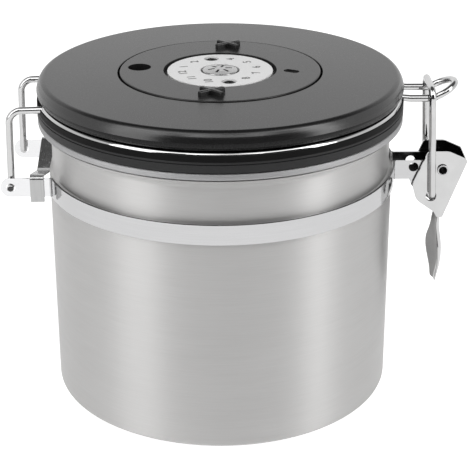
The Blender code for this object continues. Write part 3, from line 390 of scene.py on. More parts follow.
def mouldedFinish(name, dark, light, roughness, gloss=0.5, grain=2400):
    # Moulded plastic: a fine spark-eroded grain over slow cloudy tone
    look = {"dark": dark, "light": light, "roughness": roughness, "clouds": 60, "bump": (0.00002, 0.6)}
    finish, tree, shader = startFinish(name, look, gloss=gloss)
    addTint(tree, addNoise(tree, look["clouds"], detail=4.0), look, shader)
    fine = addNoise(tree, grain, rough=0.6)
    addRoughness(tree, fine, look, shader)
    addBump(tree, fine, look, shader)
    return finish


def silverFinish():
    look = {"dark": grey(0.62), "light": grey(0.72), "roughness": (0.34, 0.46),
            "flakes": 3000, "clouds": 90, "bump": (0.00001, 0.4)}
    finish, tree, shader = startFinish("silverPaint", look)
    flakes = addNoise(tree, look["flakes"])
    addTint(tree, flakes, look, shader)
    addBump(tree, flakes, look, shader)
    addRoughness(tree, addNoise(tree, look["clouds"]), look, shader)
    return finish


def printFinish():
    look = {"dark": grey(0.05), "light": grey(0.09), "roughness": (0.5, 0.5), "speckle": 1200}
    finish, tree, shader = startFinish("figurePrint", look)
    addTint(tree, addNoise(tree, look["speckle"]), look, shader)
    return finish


def coatedFinish():
    look = {"dark": grey(0.006), "light": grey(0.014), "roughness": (0.26, 0.38), "wear": 700}
    finish, tree, shader = startFinish("blackScrewAndBoreShade", look, gloss=0.05)
    wear = addNoise(tree, look["wear"], detail=3.0)
    addTint(tree, wear, look, shader)
    addRoughness(tree, wear, look, shader)
    return finish


brushedSteel = brushedFinish()
rimSteel = polishedFinish("rimSteel", 0.42, 0.47, (0.54, 0.62))
polishedSteel = polishedFinish("polishedSteel", 0.545, 0.575, (0.09, 0.13))
# Lighter steel for the hinge ears: a painted reflection of the bright backdrop
paintedShineSteel = polishedFinish("paintedShineSteel", 0.77, 0.80, (0.10, 0.14))
# Near-black steel that paints shade into hollows, gaps and undersides
paintedShadeSteel = polishedFinish("paintedShadeSteel", 0.05, 0.09, (0.20, 0.28))
satinSteel = satinFinish()
chrome = chromeFinish()

coverTones = {"dark": (0.005, 0.0048, 0.005), "light": (0.008, 0.0078, 0.008)}
blackPlastic = mouldedFinish("blackPlastic", **coverTones, roughness=(0.22, 0.28), gloss=0.44)
# Glossier and duller copies of the cover plastic, chosen by direction: a painted highlight band and a
# painted dark lower side
paintedSheenPlastic = mouldedFinish("paintedSheenPlastic", **coverTones, roughness=(0.20, 0.26), gloss=0.80)
paintedShadePlastic = mouldedFinish("paintedShadePlastic", **coverTones, roughness=(0.24, 0.30), gloss=0.20)
darkPlastic = mouldedFinish("darkPlastic", (0.012, 0.012, 0.0125), (0.018, 0.018, 0.0185), (0.36, 0.46))
# Near-black plastic for the lip under the wire: painted shade of the deep groove
paintedShadeLipPlastic = mouldedFinish("paintedShadeLipPlastic", grey(0.003), grey(0.005), (0.50, 0.60), gloss=0.10)
greyPlastic = mouldedFinish("greyPlastic", (0.009, 0.0088, 0.009), (0.013, 0.0128, 0.013),
                            (0.26, 0.34), gloss=0.45)
glossBlack = mouldedFinish("glossBlack", grey(0.006), grey(0.012), (0.24, 0.32), grain=1600)
silicone = mouldedFinish("silicone", (0.009, 0.009, 0.0095), (0.013, 0.013, 0.0135),
                         (0.46, 0.56), gloss=0.38, grain=1400)
silverPaint = silverFinish()
figurePrint = printFinish()
blackScrewAndBoreShade = coatedFinish()
print("finishes ready")


# Can: drawn shell, pressed base ring, stepped neck and a curled rim

canSizes = {
    "radius": 61.5, "wall": 0.8, "foot": 1.8, "neck": 60.3, "steps": 192,
    "bead": (41.0, 41.4, 44.6, 45.0), "beadDepth": 0.4,
    "rim": (64.2, 64.75), "hem": (62.8, 0.6), "flare": (64.1, 3.0),  # hem and flare: radius and drop
    "rimInside": 1.0, "rimBelow": 0.05,  # how far the rim's finish reaches past it
}


def makeCan(s):
    h = heights
    radius, neck, wall, foot, pressed = s["radius"], s["neck"], s["wall"], s["foot"], s["beadDepth"]
    inner = radius - wall
    bore = neck - wall
    b0, b1, b2, b3 = s["bead"]
    rimTop, rimFoot = s["rim"]
    hem, hemDrop = s["hem"]
    flare, flareDrop = s["flare"]
    bm = turnProfile([
        (0, wall, 0), (b0, wall, 0.2), (b1, wall + pressed, 0.2), (b2, wall + pressed, 0.2),
        (b3, wall, 0.2), (inner, wall, foot - wall), (inner, h["shoulder"] - wall / 2, 0.5),
        (bore, h["neck"], 0.5), (bore, h["rimTop"], 1.0), (rimTop, h["rimTop"], 1.0),
        (rimFoot, h["rimLow"], 0.4), (hem, h["rimLow"], 0), (hem, h["rimLow"] - hemDrop, 0),
        (flare, h["rimLow"] - hemDrop, 0.15), (neck, h["rimLow"] - flareDrop, 2.5),
        (neck, h["neck"], 0.4), (radius, h["shoulder"], 0.5), (radius, 0, foot),
        (b3, 0, 0.2), (b2, pressed, 0.2), (b1, pressed, 0.2), (b0, 0, 0.2), (0, 0, 0),
    ], s["steps"], closed=False)
    shell = keepPiece(bm, "canShell", brushedSteel, "canister", ["can_body"])

    def onRim(place, facing):
        return place.z > h["rimLow"] - s["rimBelow"] and place.xy.length > rimTop - s["rimInside"]

    addFinish(shell, rimSteel, onRim)


makeCan(canSizes)
print("can ready")


# Band: two half hoops, each with a hinge ear and a clamp arm

bandSizes = {
    "radius": 62.15, "sheet": 0.7, "steps": 96, "ear": 19.5, "earEnd": -77.1, "arm": 4.6, "armEnd": 82.5,
    "fold": 1.2, "endRound": 3.3, "softEdge": 0.12, "hingeHole": 1.6, "rivetHole": 1.6, "punch": 4,
    "eye": (71.6, 78.6, 4.1), "openHole": (69.2, 81.8, 1.75),  # x, height and radius
    "rearDrop": 0.9,  # how much lower the rear arm's open hole is
    "paintedShineTo": -65, "armFrom": 64, "topDepth": 0.3, "topFacing": 0.6,
}


def makeBand(s, side, name, node):
    low, top = heights["bandLow"], heights["bandTop"]
    first = math.pi - math.asin(s["ear"] / s["radius"])
    last = math.asin(s["arm"] / s["radius"])
    bm = bmesh.new()
    start = bm.verts.new((s["radius"] * math.cos(first), s["radius"] * math.sin(first), low))
    spun = bmesh.ops.spin(bm, geom=[start], cent=(0, 0, 0), axis=(0, 0, 1), angle=last - first,
                          steps=s["steps"])
    end = vertsOf(spun["geom_last"])[0]
    earTip = bm.verts.new((s["earEnd"], s["ear"], low))
    armTip = bm.verts.new((s["armEnd"], s["arm"], low))
    bm.edges.new((earTip, start))
    bm.edges.new((end, armTip))
    roundCorners(bm, [(start, s["fold"]), (end, s["fold"])])
    bm = thicken(raiseLine(bm, (0, 0, top - low)), s["sheet"])
    tips = []
    for edge in bm.edges:
        one, other = [vert.co for vert in edge.verts]
        atTip = min(abs(one.x - s["earEnd"]), abs(one.x - s["armEnd"])) < weld
        if atTip and abs(one.x - other.x) < weld and abs(one.z - other.z) < weld:
            tips.append(edge)
    roundEdges(bm, tips, s["endRound"], segments=10)
    eyeX, eyeZ, eyeRadius = s["eye"]
    bm = joinOn(bm, pins([(eyeX, s["arm"], eyeZ)], eyeRadius, s["sheet"], "Y"))
    openX, openZ, openRadius = s["openHole"]
    if side > 0:
        openZ -= s["rearDrop"]
    for x, y, z, radius in [(hingeAxis.x, s["ear"], hingeAxis.z, s["hingeHole"]),
                            (leverAxis.x, s["arm"], leverAxis.z, s["rivetHole"]),
                            (openX, s["arm"], openZ, openRadius)]:
        bm = cutOut(bm, pins([(x, y, z)], radius, s["punch"], "Y"))
    bm = softEdges(bm, s["softEdge"])
    if side < 0:
        bmesh.ops.scale(bm, vec=(1, -1, 1), verts=bm.verts)
        bmesh.ops.reverse_faces(bm, faces=bm.faces)
    hoop = keepPiece(bm, name, polishedSteel, "canister", [node])

    def inShade(place, facing):
        # Painted shade on the inside of the arm, and a painted shadow line on the hoop's top edge
        insideArm = place.x > s["armFrom"] and facing.y * side < -squareOn
        onTop = facing.z > s["topFacing"] and place.z > top - s["topDepth"]
        return insideArm or (onTop and place.xy.length < s["armFrom"])

    # The ears take the lighter steel, a painted reflection of the backdrop
    addFinish(hoop, paintedShineSteel, lambda place, facing: place.x < s["paintedShineTo"])
    addFinish(hoop, paintedShadeSteel, inShade)


makeBand(bandSizes, -1, "hoopFront", "band_front")
makeBand(bandSizes, 1, "hoopRear", "band_rear")
print("band ready")


# Hinge clip: a folded bridge over both ears with a shallow V between

clipSizes = {
    "x": (-66.6, -61.8), "sheet": 0.8, "skirt": (20.55, 75.6), "top": 84.8, "knee": 18.35, "dip": 79.2,
    "fold": 1.3, "kneeBend": 1.95, "dipBend": 5.6, "softEdge": 0.12,
}


def makeClip(s):
    near, far = s["x"]
    skirt, low = s["skirt"]
    half = [((near, skirt, low), 0), ((near, skirt, s["top"]), s["fold"]),
            ((near, s["knee"], s["top"]), s["kneeBend"])]
    dip = [((near, 0, s["dip"]), s["dipBend"])]
    otherHalf = [((x, -y, z), bend) for (x, y, z), bend in reversed(half)]
    bm = bmesh.new()
    roundCorners(bm, drawLine(bm, half + dip + otherHalf))
    bm = softEdges(thicken(raiseLine(bm, (far - near, 0, 0)), s["sheet"]), s["softEdge"])
    keepPiece(bm, "hingeBridge", satinSteel, "canister", ["hinge_clip"])


# Rivet: an eyelet through both arms and both cheeks

rivetSizes = {"half": 7.8, "shank": 7.2, "head": 1.95, "body": 1.5, "bore": 1.3, "flare": 1.5,
              "boreEdge": 0.05}


def makeRivet(s):
    bm = turnProfile([
        (s["flare"], s["half"], 0.15), (s["head"], s["half"], 0.3), (s["head"], s["shank"], 0.05),
        (s["body"], s["shank"], 0), (s["body"], -s["shank"], 0), (s["head"], -s["shank"], 0.05),
        (s["head"], -s["half"], 0.3), (s["flare"], -s["half"], 0.15), (s["bore"], -s["shank"], 0.2),
        (s["bore"], s["shank"], 0.2),
    ], steps=48, segments=4)
    bmesh.ops.rotate(bm, cent=(0, 0, 0), matrix=Matrix.Rotation(math.pi / 2, 3, "X"), verts=bm.verts)
    bmesh.ops.translate(bm, vec=leverAxis, verts=bm.verts)
    eyelet = keepPiece(bm, "rivetEyelet", polishedSteel, "canister", ["lever_rivet"])

    # The bore takes the black screw finish as painted shade
    def inBore(place, facing):
        return math.hypot(place.x - leverAxis.x, place.z - leverAxis.z) < s["bore"] + s["boreEdge"]

    addFinish(eyelet, blackScrewAndBoreShade, inBore)


makeClip(clipSizes)
makeRivet(rivetSizes)
print("hinge clip and rivet ready")


# Lid wire: foot, leg, ring in the lid groove and the upturned nose, all one wire

wireSizes = {
    "thick": 2.5, "ring": 63.0, "leg": 17.55, "legX": -72.8, "legBend": 4.5, "foot": 20.95,
    "footBend": 1.5, "endDepth": 0.2, "exitX": 66.6, "exitBend": 2.6,
    "nose": 6.4, "noseStart": 74.8, "noseBend": 2.8, "noseTurn": 77.1, "noseSlope": 27,
}


def makeLidWire(s):
    z = heights["wire"]
    slope = math.radians(s["noseSlope"])
    rise = Matrix.Rotation(-slope, 3, "Y")
    turnPoint = Vector((s["noseTurn"], 0, z + (s["noseTurn"] - s["noseStart"]) * math.tan(slope)))
    noseAngle = math.asin(s["nose"] / s["ring"])
    legAngle = math.asin(s["leg"] / s["ring"])
    bm = bmesh.new()
    tip = bm.verts.new(turnPoint + rise @ Vector((s["nose"], 0, 0)))
    turned = bmesh.ops.spin(bm, geom=[tip], cent=turnPoint, axis=rise @ Vector((0, 0, 1)),
                            angle=-math.pi / 2, steps=16)
    noseSide = vertsOf(turned["geom_last"])[0]
    noseFoot = bm.verts.new((s["noseStart"], -s["nose"], z))
    noseExit = bm.verts.new((s["exitX"], -s["nose"], z))
    ringNose = bm.verts.new((s["ring"] * math.cos(noseAngle), -s["nose"], heights["wireRing"]))
    spun = bmesh.ops.spin(bm, geom=[ringNose], cent=(0, 0, 0), axis=(0, 0, 1),
                          angle=-(math.pi - noseAngle - legAngle), steps=120)
    ringLeg = vertsOf(spun["geom_last"])[0]
    leg = drawLine(bm, [
        ((s["legX"], -s["leg"], z), s["legBend"]),
        ((hingeAxis.x, -s["leg"], hingeAxis.z), s["footBend"]),
        ((hingeAxis.x, -s["foot"], hingeAxis.z), 0),
    ])
    bm.edges.new((noseSide, noseFoot))
    bm.edges.new((noseFoot, noseExit))
    bm.edges.new((noseExit, ringNose))
    bm.edges.new((ringLeg, leg[0][0]))
    bends = [(noseFoot, s["noseBend"]), (ringNose, s["exitBend"]), (ringLeg, s["exitBend"])]
    roundCorners(bm, leg[:-1] + bends, segments=10)
    places = walkLine(tip)
    bm.free()
    wire = keepPiece(mirrorAcross(drawWire(places, s["thick"])), "hingeAndNoseWire", chrome, "lid",
                     ["lid_wire"], sharp=50)

    # Painted shade on the wire's cut ends beside the hinge ears
    def onFootEnd(place, facing):
        atFoot = abs(place.y) > s["foot"] - s["endDepth"] and place.x < hingeAxis.x + s["thick"]
        return atFoot and abs(facing.y) > squareOn

    addFinish(wire, paintedShadeSteel, onFootEnd)


# Bail: the clamp's wire loop

bailSizes = {"thick": 2.5, "half": 9.3, "foot": 5.2, "barX": 74.0, "barZ": 111.5, "bend": 3.0,
             "footBend": 1.8, "underside": -0.35}


def makeBail(s):
    bm = bmesh.new()
    line = drawLine(bm, [
        ((s["barX"], 0, s["barZ"]), 0), ((s["barX"], -s["half"], s["barZ"]), s["bend"]),
        ((bailAxis.x, -s["half"], bailAxis.z), s["footBend"]), ((bailAxis.x, -s["foot"], bailAxis.z), 0),
    ])
    roundCorners(bm, line, segments=10)
    places = walkLine(line[0][0])
    bm.free()
    loop = keepPiece(mirrorAcross(drawWire(places, s["thick"])), "clampLoop", chrome, "bail",
                     ["bail"], sharp=50)
    # Painted shade and dark reflection on the underside of the feet, where the wire turns into the lever
    addFinish(loop, paintedShadeSteel,
              lambda place, facing: place.z < bailAxis.z and facing.z < s["underside"])


makeLidWire(wireSizes)
makeBail(bailSizes)
print("wires ready")


# Lever: a folded sheet channel whose web runs on into a dished finger leaf

leverSizes = {
    "width": 13.8, "sheet": 1.0, "fold": 1.2, "hole": 1.6, "bailHole": 1.95, "bailDrop": 0.7,
    "punch": 30, "cutPast": 20, "cutBack": 60, "cheekDepth": 0.2, "softEdge": 0.14,
    # the cheek's corners from the rivet: x and height, then the bend
    "outline": [((8.93, 3.5), 1.0), ((2.1, 6.6), 4.0), ((-5.4, 6.6), 1.0), ((-10.6, -5.9), 4.0),
                ((-9.0, -11.6), 4.0), ((-2.4, -16.3), 2.0), ((-1.2, -18.4), 0.5), ((0.8, -18.4), 0.5)],
    "leafSheet": 0.6, "leafAcross": 4,
    # leaf rows: height, half width, dish, swell, twist
    "leaf": [(65.3, 3.15, 0.0, 0.60, 0.0), (63.0, 3.00, 1.2, 0.00, 0.2), (60.4, 2.95, 1.8, -0.30, 0.2),
             (56.9, 3.30, 1.8, -0.40, 0.3), (53.3, 5.10, 2.4, 0.20, 0.7), (50.0, 6.70, 3.1, 0.70, 1.3),
             (45.4, 6.40, 2.9, 0.70, 1.3), (41.5, 5.10, 2.0, 0.30, 0.9), (37.7, 3.40, 1.0, -0.50, 0.4),
             (35.4, 2.60, 0.7, -0.90, 0.4)],
}


def makeLeaf(s, front):
    # A grid bent to its rows
    leaf = bmesh.new()
    rows = s["leaf"]
    bmesh.ops.create_grid(leaf, x_segments=len(rows) - 1, y_segments=s["leafAcross"], size=1)
    for vert in leaf.verts:
        height, width, dish, swell, twist = rows[round((vert.co.x + 1) / 2 * (len(rows) - 1))]
        across = vert.co.y
        vert.co = (front + swell - dish * across ** 2 - twist * across, width * across, height)
    return thicken(shapedBy(leaf, "SUBSURF", levels=3, render_levels=3), s["leafSheet"], offset=1)


def makeLever(s):
    half = s["width"] / 2
    inner = half - s["sheet"]
    corners = [((leverAxis.x + x, -half, leverAxis.z + z), bend) for (x, z), bend in s["outline"]]
    bm = prism(corners, (0, s["width"], 0), segments=8)
    longest = max(edge.calc_length() for edge in bm.edges)
    webEdges = [edge for edge in bm.edges if edge.calc_length() > longest - weld]
    roundEdges(bm, webEdges, s["fold"], segments=5)

    webTop = Vector(corners[0][0])
    webLow = Vector(corners[-1][0])
    along = (webTop - webLow).normalized()
    inward = Vector((-along.z, 0, along.x)) * s["sheet"]
    back = Vector((-s["cutBack"], 0, 0))
    low = webLow + inward - along * s["cutPast"]
    high = webTop + inward + along * s["cutPast"]
    room = [((place.x, -inner, place.z), 0) for place in (low, high, high + back, low + back)]
    bm = cutOut(bm, prism(room, (0, 2 * inner, 0)))

    bm = joinOn(bm, makeLeaf(s, webLow.x))
    bailPlace = bailAxis - Vector((0, 0, s["bailDrop"]))
    bm = cutOut(bm, pins([leverAxis], s["hole"], s["punch"], "Y"),
                pins([bailPlace], s["bailHole"], s["punch"], "Y"))
    bm = softEdges(bm, s["softEdge"], angle=50)
    grip = keepPiece(bm, "clampLever", chrome, "lever", ["lever"])

    # Painted shade on the inner faces of the cheeks, inside the channel
    def insideCheek(place, facing):
        onCheek = inner - s["cheekDepth"] < abs(place.y) < inner + s["cheekDepth"]
        return onCheek and place.y * facing.y < 0 and abs(facing.y) > squareOn

    addFinish(grip, paintedShadeSteel, insideCheek)


makeLever(leverSizes)
print("clamp lever ready")


# Lid cover with the well for the date ring

coverSizes = {
    "radius": 64.8, "wall": 2.4, "well": 36.05, "wellWall": 1.8, "under": 110.9,
    "hub": 17.3, "hubTop": 114.8, "stemHole": 5.1, "steps": 192,
    "side": [(62.8, 116.6, 2.6), (64.1, 114.5, 4.0), (64.8, 112.0, 2.0), (63.6, 110.25, 0.3)],
    "sideFrom": 62, "sideFacing": (0.2, 0.68),
}


def makeCover(s):
    top = heights["coverTop"]
    floor = heights["wellFloor"]
    inner = s["radius"] - s["wall"]
    roof = top - s["wall"]
    wellOut = s["well"] + s["wellWall"]
    bm = turnProfile([
        (s["well"], top, 0.3), *s["side"], (inner, s["side"][-1][1], 0.2), (inner, roof, 2.0),
        (wellOut, roof, 0.5), (wellOut, s["under"], 0.3), (s["stemHole"], s["under"], 0.2),
        (s["stemHole"], s["hubTop"], 0.2), (s["hub"], s["hubTop"], 0.2), (s["hub"], floor, 0.2),
        (s["well"], floor, 0.4),
    ], s["steps"], segments=10)
    shell = keepPiece(bm, "lidShell", blackPlastic, "lid", ["lid_cover"])
    low, high = s["sideFacing"]
    # By direction: the glossier copy paints a highlight band below the shoulder, the duller copy paints
    # shade on the lower side
    addFinish(shell, paintedSheenPlastic,
              lambda place, facing: low < facing.z < high and place.xy.length > s["sideFrom"])
    addFinish(shell, paintedShadePlastic,
              lambda place, facing: facing.z <= low and place.xy.length > s["sideFrom"])


# Gasket: a soft lip above the flange and a flat sole on the rim, with a groove between

gasketSizes = {"radius": 64.7, "plug": 55.7, "flange": 63.05, "flangeSlot": (104.4, 106.0),
               "lipBore": 61.7, "groove": (105.65, 105.95, 0.4), "steps": 192}


def makeGasket(s):
    low, high, deep = s["groove"]
    slotLow, slotTop = s["flangeSlot"]
    sole, lip = heights["gasketLow"], heights["gasketTop"]
    bm = turnProfile([
        (s["lipBore"], lip, 0.1), (s["radius"], lip, 0.35), (s["radius"], high, 0.3),
        (s["radius"] - deep, high, 0), (s["radius"] - deep, low, 0), (s["radius"], low, 0.15),
        (s["radius"], sole, 0.3), (s["plug"], sole, 0.2), (s["plug"], slotLow, 0.2),
        (s["flange"], slotLow, 0), (s["flange"], slotTop, 0), (s["lipBore"], slotTop, 0),
    ], s["steps"], segments=4)
    keepPiece(bm, "sealRing", silicone, "lid", ["lid_gasket"])


# Lid base: plug ring, flange, a channel for the wire and the vent's housing

baseSizes = {
    "collar": 61.7, "collarTop": 110.1, "collarWall": 1.8, "flange": 62.75, "plate": 104.0, "steps": 192,
    "plug": 55.4, "plugBore": 53.2, "plugLow": 100.3, "guard": 12.3, "guardTop": 104.9,
    "seat": (3.0, 4.4, 106.2),  # bore, outside and top
    "housing": (8.2, 9.0, 10.3), "housingStep": 108.5, "housingTop": 109.9,  # bore, step and outside
    "screwCircle": 45.525, "screwHole": (1.6, 8), "screwHead": (2.9, 1.2),  # radius and cut
    "channel": (64.3, 64.65, 64.7), "channelUnder": 106.8, "channelFloor": 107.15, "channelTop": 108.75,
    "exits": [(64.2, 6.4, 3.4), (-62.0, 17.55, 5.6)],  # x, y on both sides, length
    "exitWidth": 3.2, "exitHeight": 5, "exitLift": 0.85, "lipDepth": 0.1,
}


def makeBase(s):
    h = heights
    flangeTop = h["flangeTop"]
    under, channelFloor, channelTop = s["channelUnder"], s["channelFloor"], s["channelTop"]
    lipIn, lipOut, footOut = s["channel"]
    collarIn = s["collar"] - s["collarWall"]
    seatBore, seatOut, seatTop = s["seat"]
    bore, step, outside = s["housing"]
    bm = turnProfile([
        (s["collar"], s["collarTop"], 0.2), (s["collar"], channelFloor, 0), (lipIn, channelFloor, 0),
        (lipIn, channelTop, 0.1), (lipOut, channelTop, 0.15), (footOut, under, 0.1),
        (s["collar"], under, 0), (s["collar"], flangeTop, 0), (s["flange"], flangeTop, 0),
        (s["flange"], h["flangeLow"], 0), (s["plug"], h["flangeLow"], 0),
        (s["plug"], s["plugLow"], 0.6), (s["plugBore"], s["plugLow"], 0.6),
        (s["plugBore"], s["plate"], 0.8), (s["guard"], s["plate"], 0.2),
        (s["guard"], s["guardTop"], 0), (seatBore, s["guardTop"], 0), (seatBore, seatTop, 0.1),
        (seatOut, seatTop, 0.1), (seatOut, flangeTop, 0), (bore, flangeTop, 0),
        (bore, s["housingStep"], 0), (step, s["housingStep"], 0), (step, s["housingTop"], 0.1),
        (outside, s["housingTop"], 0.2), (outside, flangeTop, 0.3), (collarIn, flangeTop, 0.3),
        (collarIn, s["collarTop"], 0.2),
    ], s["steps"], segments=4)
    spots = [Matrix.Rotation(math.pi / 4 + math.pi / 2 * index, 3, "Z")
             @ Vector((s["screwCircle"], 0, s["plate"])) for index in range(4)]
    bm = cutOut(bm, pins(spots, *s["screwHole"], sides=32), pins(spots, *s["screwHead"]))
    for x, y, length in s["exits"]:
        for way in (y, -y):
            place = (x, way, h["wire"] + s["exitLift"])
            bm = cutOut(bm, bar(place, 0, (length, s["exitWidth"], s["exitHeight"])))
    inner = keepPiece(bm, "lidInner", darkPlastic, "lid", ["lid_base"])

    # Painted shade: the lip under the wire takes the near-black plastic
    def onLip(place, facing):
        return place.z > under and place.xy.length > s["collar"] - s["lipDepth"]

    addFinish(inner, paintedShadeLipPlastic, onLip)


makeCover(coverSizes)
makeGasket(gasketSizes)
makeBase(baseSizes)
print("lid shells ready")


# Date ring with its window and pointer mark

ringSizes = {
    "radius": 35.35, "bore": 19.9, "lipBore": 17.6, "lipTop": 114.8, "edge": 0.4, "softEdge": 0.1,
    "window": 4.05, "windowAt": 28.675, "windowCut": 12,
    "mark": (5.6, 3.2, 1.5), "markAt": 25.175, "markTurn": -22, "markRound": 1.44,
}


def onRing(radius, degrees, height):
    return Matrix.Rotation(math.radians(degrees) + ringTurn, 3, "Z") @ Vector((radius, 0, height))


def makeDateRing(s):
    top = heights["ringTop"]
    low = heights["ringLow"]
    bm = turnProfile([
        (s["bore"], top, 0.2), (s["radius"], top, s["edge"]), (s["radius"], low, 0.1),
        (s["lipBore"], low, 0.1), (s["lipBore"], s["lipTop"], 0.1), (s["bore"], s["lipTop"], 0.1),
    ], steps=160, segments=4)
    bm = cutOut(bm, pins([onRing(s["windowAt"], 180, top)], s["window"], s["windowCut"], sides=64))
    mark = bar(onRing(s["markAt"], 0, top), ringTurn + math.radians(s["markTurn"]), s["mark"])
    upright = [edge for edge in mark.edges if abs(edge.verts[0].co.z - edge.verts[1].co.z) > weld]
    roundEdges(mark, upright, s["markRound"], segments=5)
    bm = cutOut(bm, mark)
    keepPiece(softEdges(bm, s["softEdge"], angle=50), "dateRing", greyPlastic, "ring", ["date_ring"])


# Finger grips: two crossed ridges with sloping flanks

gripSizes = {"at": 27.675, "length": 9.8, "width": 1.7, "height": 2.25, "sunk": 0.4, "cross": 38,
             "slope": 0.5, "softEdge": 0.12}


def makeGrip(s, degrees, name, node):
    place = onRing(s["at"], degrees, heights["ringTop"] - s["sunk"] + s["height"] / 2)
    across = math.atan2(place.y, place.x) + math.pi / 2
    ridges = []
    for slant in (-s["cross"], s["cross"]):
        ridge = bar(place, across + math.radians(slant), (s["length"], s["width"], s["height"]))
        crest = [edge for edge in ridge.edges if min(vert.co.z for vert in edge.verts) > place.z]
        roundEdges(ridge, crest, s["slope"], segments=2)
        ridges.append(ridge)
    bm = softEdges(joinOn(*ridges), s["softEdge"])
    keepPiece(bm, name, glossBlack, "ring", [node])


makeDateRing(ringSizes)
makeGrip(gripSizes, 90, "gripRear", "ring_grip_rear")
makeGrip(gripSizes, -90, "gripFront", "ring_grip_front")
print("date ring ready")


# Dial plate with two recesses for its screws

dialSizes = {"radius": 18.65, "bore": 6.9, "edge": 0.3, "screwAt": 13.7, "recess": 2.7, "seat": 0.5,
             "softEdge": 0.1}


def onDial(radius, degrees, height):
    return Matrix.Rotation(math.radians(degrees) + dialTurn, 3, "Z") @ Vector((radius, 0, height))


def makeDial(s):
    top = heights["dialTop"]
    low = heights["dialLow"]
    bm = turnProfile([
        (s["bore"], top, 0.15), (s["radius"], top, s["edge"]),
        (s["radius"], low, 0), (s["bore"], low, 0),
    ], steps=128, segments=4)
    spots = [onDial(s["screwAt"], degrees, top) for degrees in (90, -90)]
    bm = cutOut(bm, pins(spots, s["recess"], 2 * (top - low - s["seat"])))
    keepPiece(softEdges(bm, s["softEdge"], angle=50), "dialPlate", silverPaint, "lid", ["dial_plate"])


# Figures: the hours, upright towards the hinge; the screws sit where 3 and 9 would be

figureSizes = {"hours": (12, 1, 2, 4, 5, 6, 7, 8, 10, 11), "at": 13.3, "height": 2.9,
               "capShare": 0.70, "bold": 0.05, "thick": 0.04, "lift": 0.4}


def makeFigures(s):
    bm = bmesh.new()
    for hour in s["hours"]:
        words = bpy.data.curves.new("figure", "FONT")
        words.body = str(hour)
        words.size = s["height"] / s["capShare"]
        words.align_x = "CENTER"
        words.align_y = "CENTER"
        words.extrude = s["thick"] / 2
        words.offset = s["bold"]
        words.resolution_u = 4
        figure = newObject("figure", words)
        bpy.context.view_layer.update()
        drawn = figure.evaluated_get(bpy.context.evaluated_depsgraph_get())
        shape = bpy.data.meshes.new_from_object(drawn)
        place = onDial(s["at"], 180 - 360 / 12 * hour, heights["dialTop"] + s["thick"] * s["lift"])
        shape.transform(Matrix.Translation(place) @ Matrix.Rotation(dialTurn + math.pi / 2, 4, "Z"))
        bm.from_mesh(shape)
        bpy.data.objects.remove(figure, do_unlink=True)
        bpy.data.meshes.remove(shape)
    keepPiece(bm, "dialFigures", figurePrint, "lid")


# Dial screws: a low domed head with a cross

screwSizes = {
    "head": 2.6, "headLow": 115.9, "headTop": 116.9, "dome": 0.75, "crown": (0.55, 0.1),
    "shank": 1.1, "length": 3.6, "cross": (2.8, 0.6, 0.9), "crossTurn": 0.35, "softEdge": 0.05,
}


def makeDialScrew(s, degrees, name, node):
    low, top = s["headLow"], s["headTop"]
    tip = low - s["length"]
    crownShare, crownDrop = s["crown"]
    bm = turnProfile([
        (0, top, 0), (s["head"] * crownShare, top - crownDrop, 0.5), (s["head"], top - s["dome"], 0.1),
        (s["head"], low, 0), (s["shank"], low, 0), (s["shank"], tip, 0.2), (0, tip, 0),
    ], steps=48, segments=4, closed=False)
    for turn in (s["crossTurn"], s["crossTurn"] + math.pi / 2):
        bm = cutOut(bm, bar((0, 0, top), turn, s["cross"]))
    bm = softEdges(bm, s["softEdge"])
    bmesh.ops.translate(bm, vec=onDial(dialSizes["screwAt"], degrees, 0), verts=bm.verts)
    keepPiece(bm, name, blackScrewAndBoreShade, "lid", [node])


# Vent cap: a plain low dome with six slots

capSizes = {
    "radius": 6.2, "top": 117.1, "dome": 0.5, "crown": (0.5, 0.8), "stem": 4.8, "stemLow": 112.4,
    "bore": 3.6, "roof": 1.0, "slot": (2.4, 0.8, 3.0), "slotAt": 3.1, "slots": 6, "softEdge": 0.06,
}


def makeVentCap(s):
    top, low, roof = s["top"], heights["dialLow"], s["top"] - s["roof"]
    crownShare, crownRise = s["crown"]
    bm = turnProfile([
        (0, top + s["dome"], 0), (s["radius"] * crownShare, top + s["dome"] * crownRise, 3.0),
        (s["radius"], top, 0.4), (s["radius"], low, 0), (s["stem"], low, 0),
        (s["stem"], s["stemLow"], 0.1), (s["bore"], s["stemLow"], 0.1), (s["bore"], roof, 0.1),
        (0, roof, 0),
    ], steps=96, closed=False)
    for index in range(s["slots"]):
        degrees = 360 / s["slots"] * index
        slot = bar(onDial(s["slotAt"], degrees, top), math.radians(degrees) + dialTurn, s["slot"])
        bm = cutOut(bm, slot)
    bm = softEdges(bm, s["softEdge"])
    keepPiece(bm, "ventCap", satinSteel, "lid", ["vent_cap"])


makeDial(dialSizes)
makeFigures(figureSizes)
makeDialScrew(screwSizes, 90, "dialScrewRear", "dial_screw_rear")
makeDialScrew(screwSizes, -90, "dialScrewFront", "dial_screw_front")
makeVentCap(capSizes)
print("dial ready")


# CAD pieces that keep their shape

carriedOver = {
    "lid_screw_1": blackScrewAndBoreShade, "lid_screw_2": blackScrewAndBoreShade, "lid_screw_3": blackScrewAndBoreShade,
    "lid_screw_4": blackScrewAndBoreShade, "day_plate": blackPlastic, "valve_disc": silicone,
    "valve_retainer": darkPlastic, "valve_guard": darkPlastic,
}
for node, finish in carriedOver.items():
    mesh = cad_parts[node].data
    mesh.materials.clear()
    mesh.materials.append(finish)
print("carried pieces ready")


# Studio: a pale floor, soft boxes, and a room that the camera sees white. Metal sees it white
# behind the canister, a little darker at the sides, and dark overhead and behind the camera.
# Sizes are in metres.

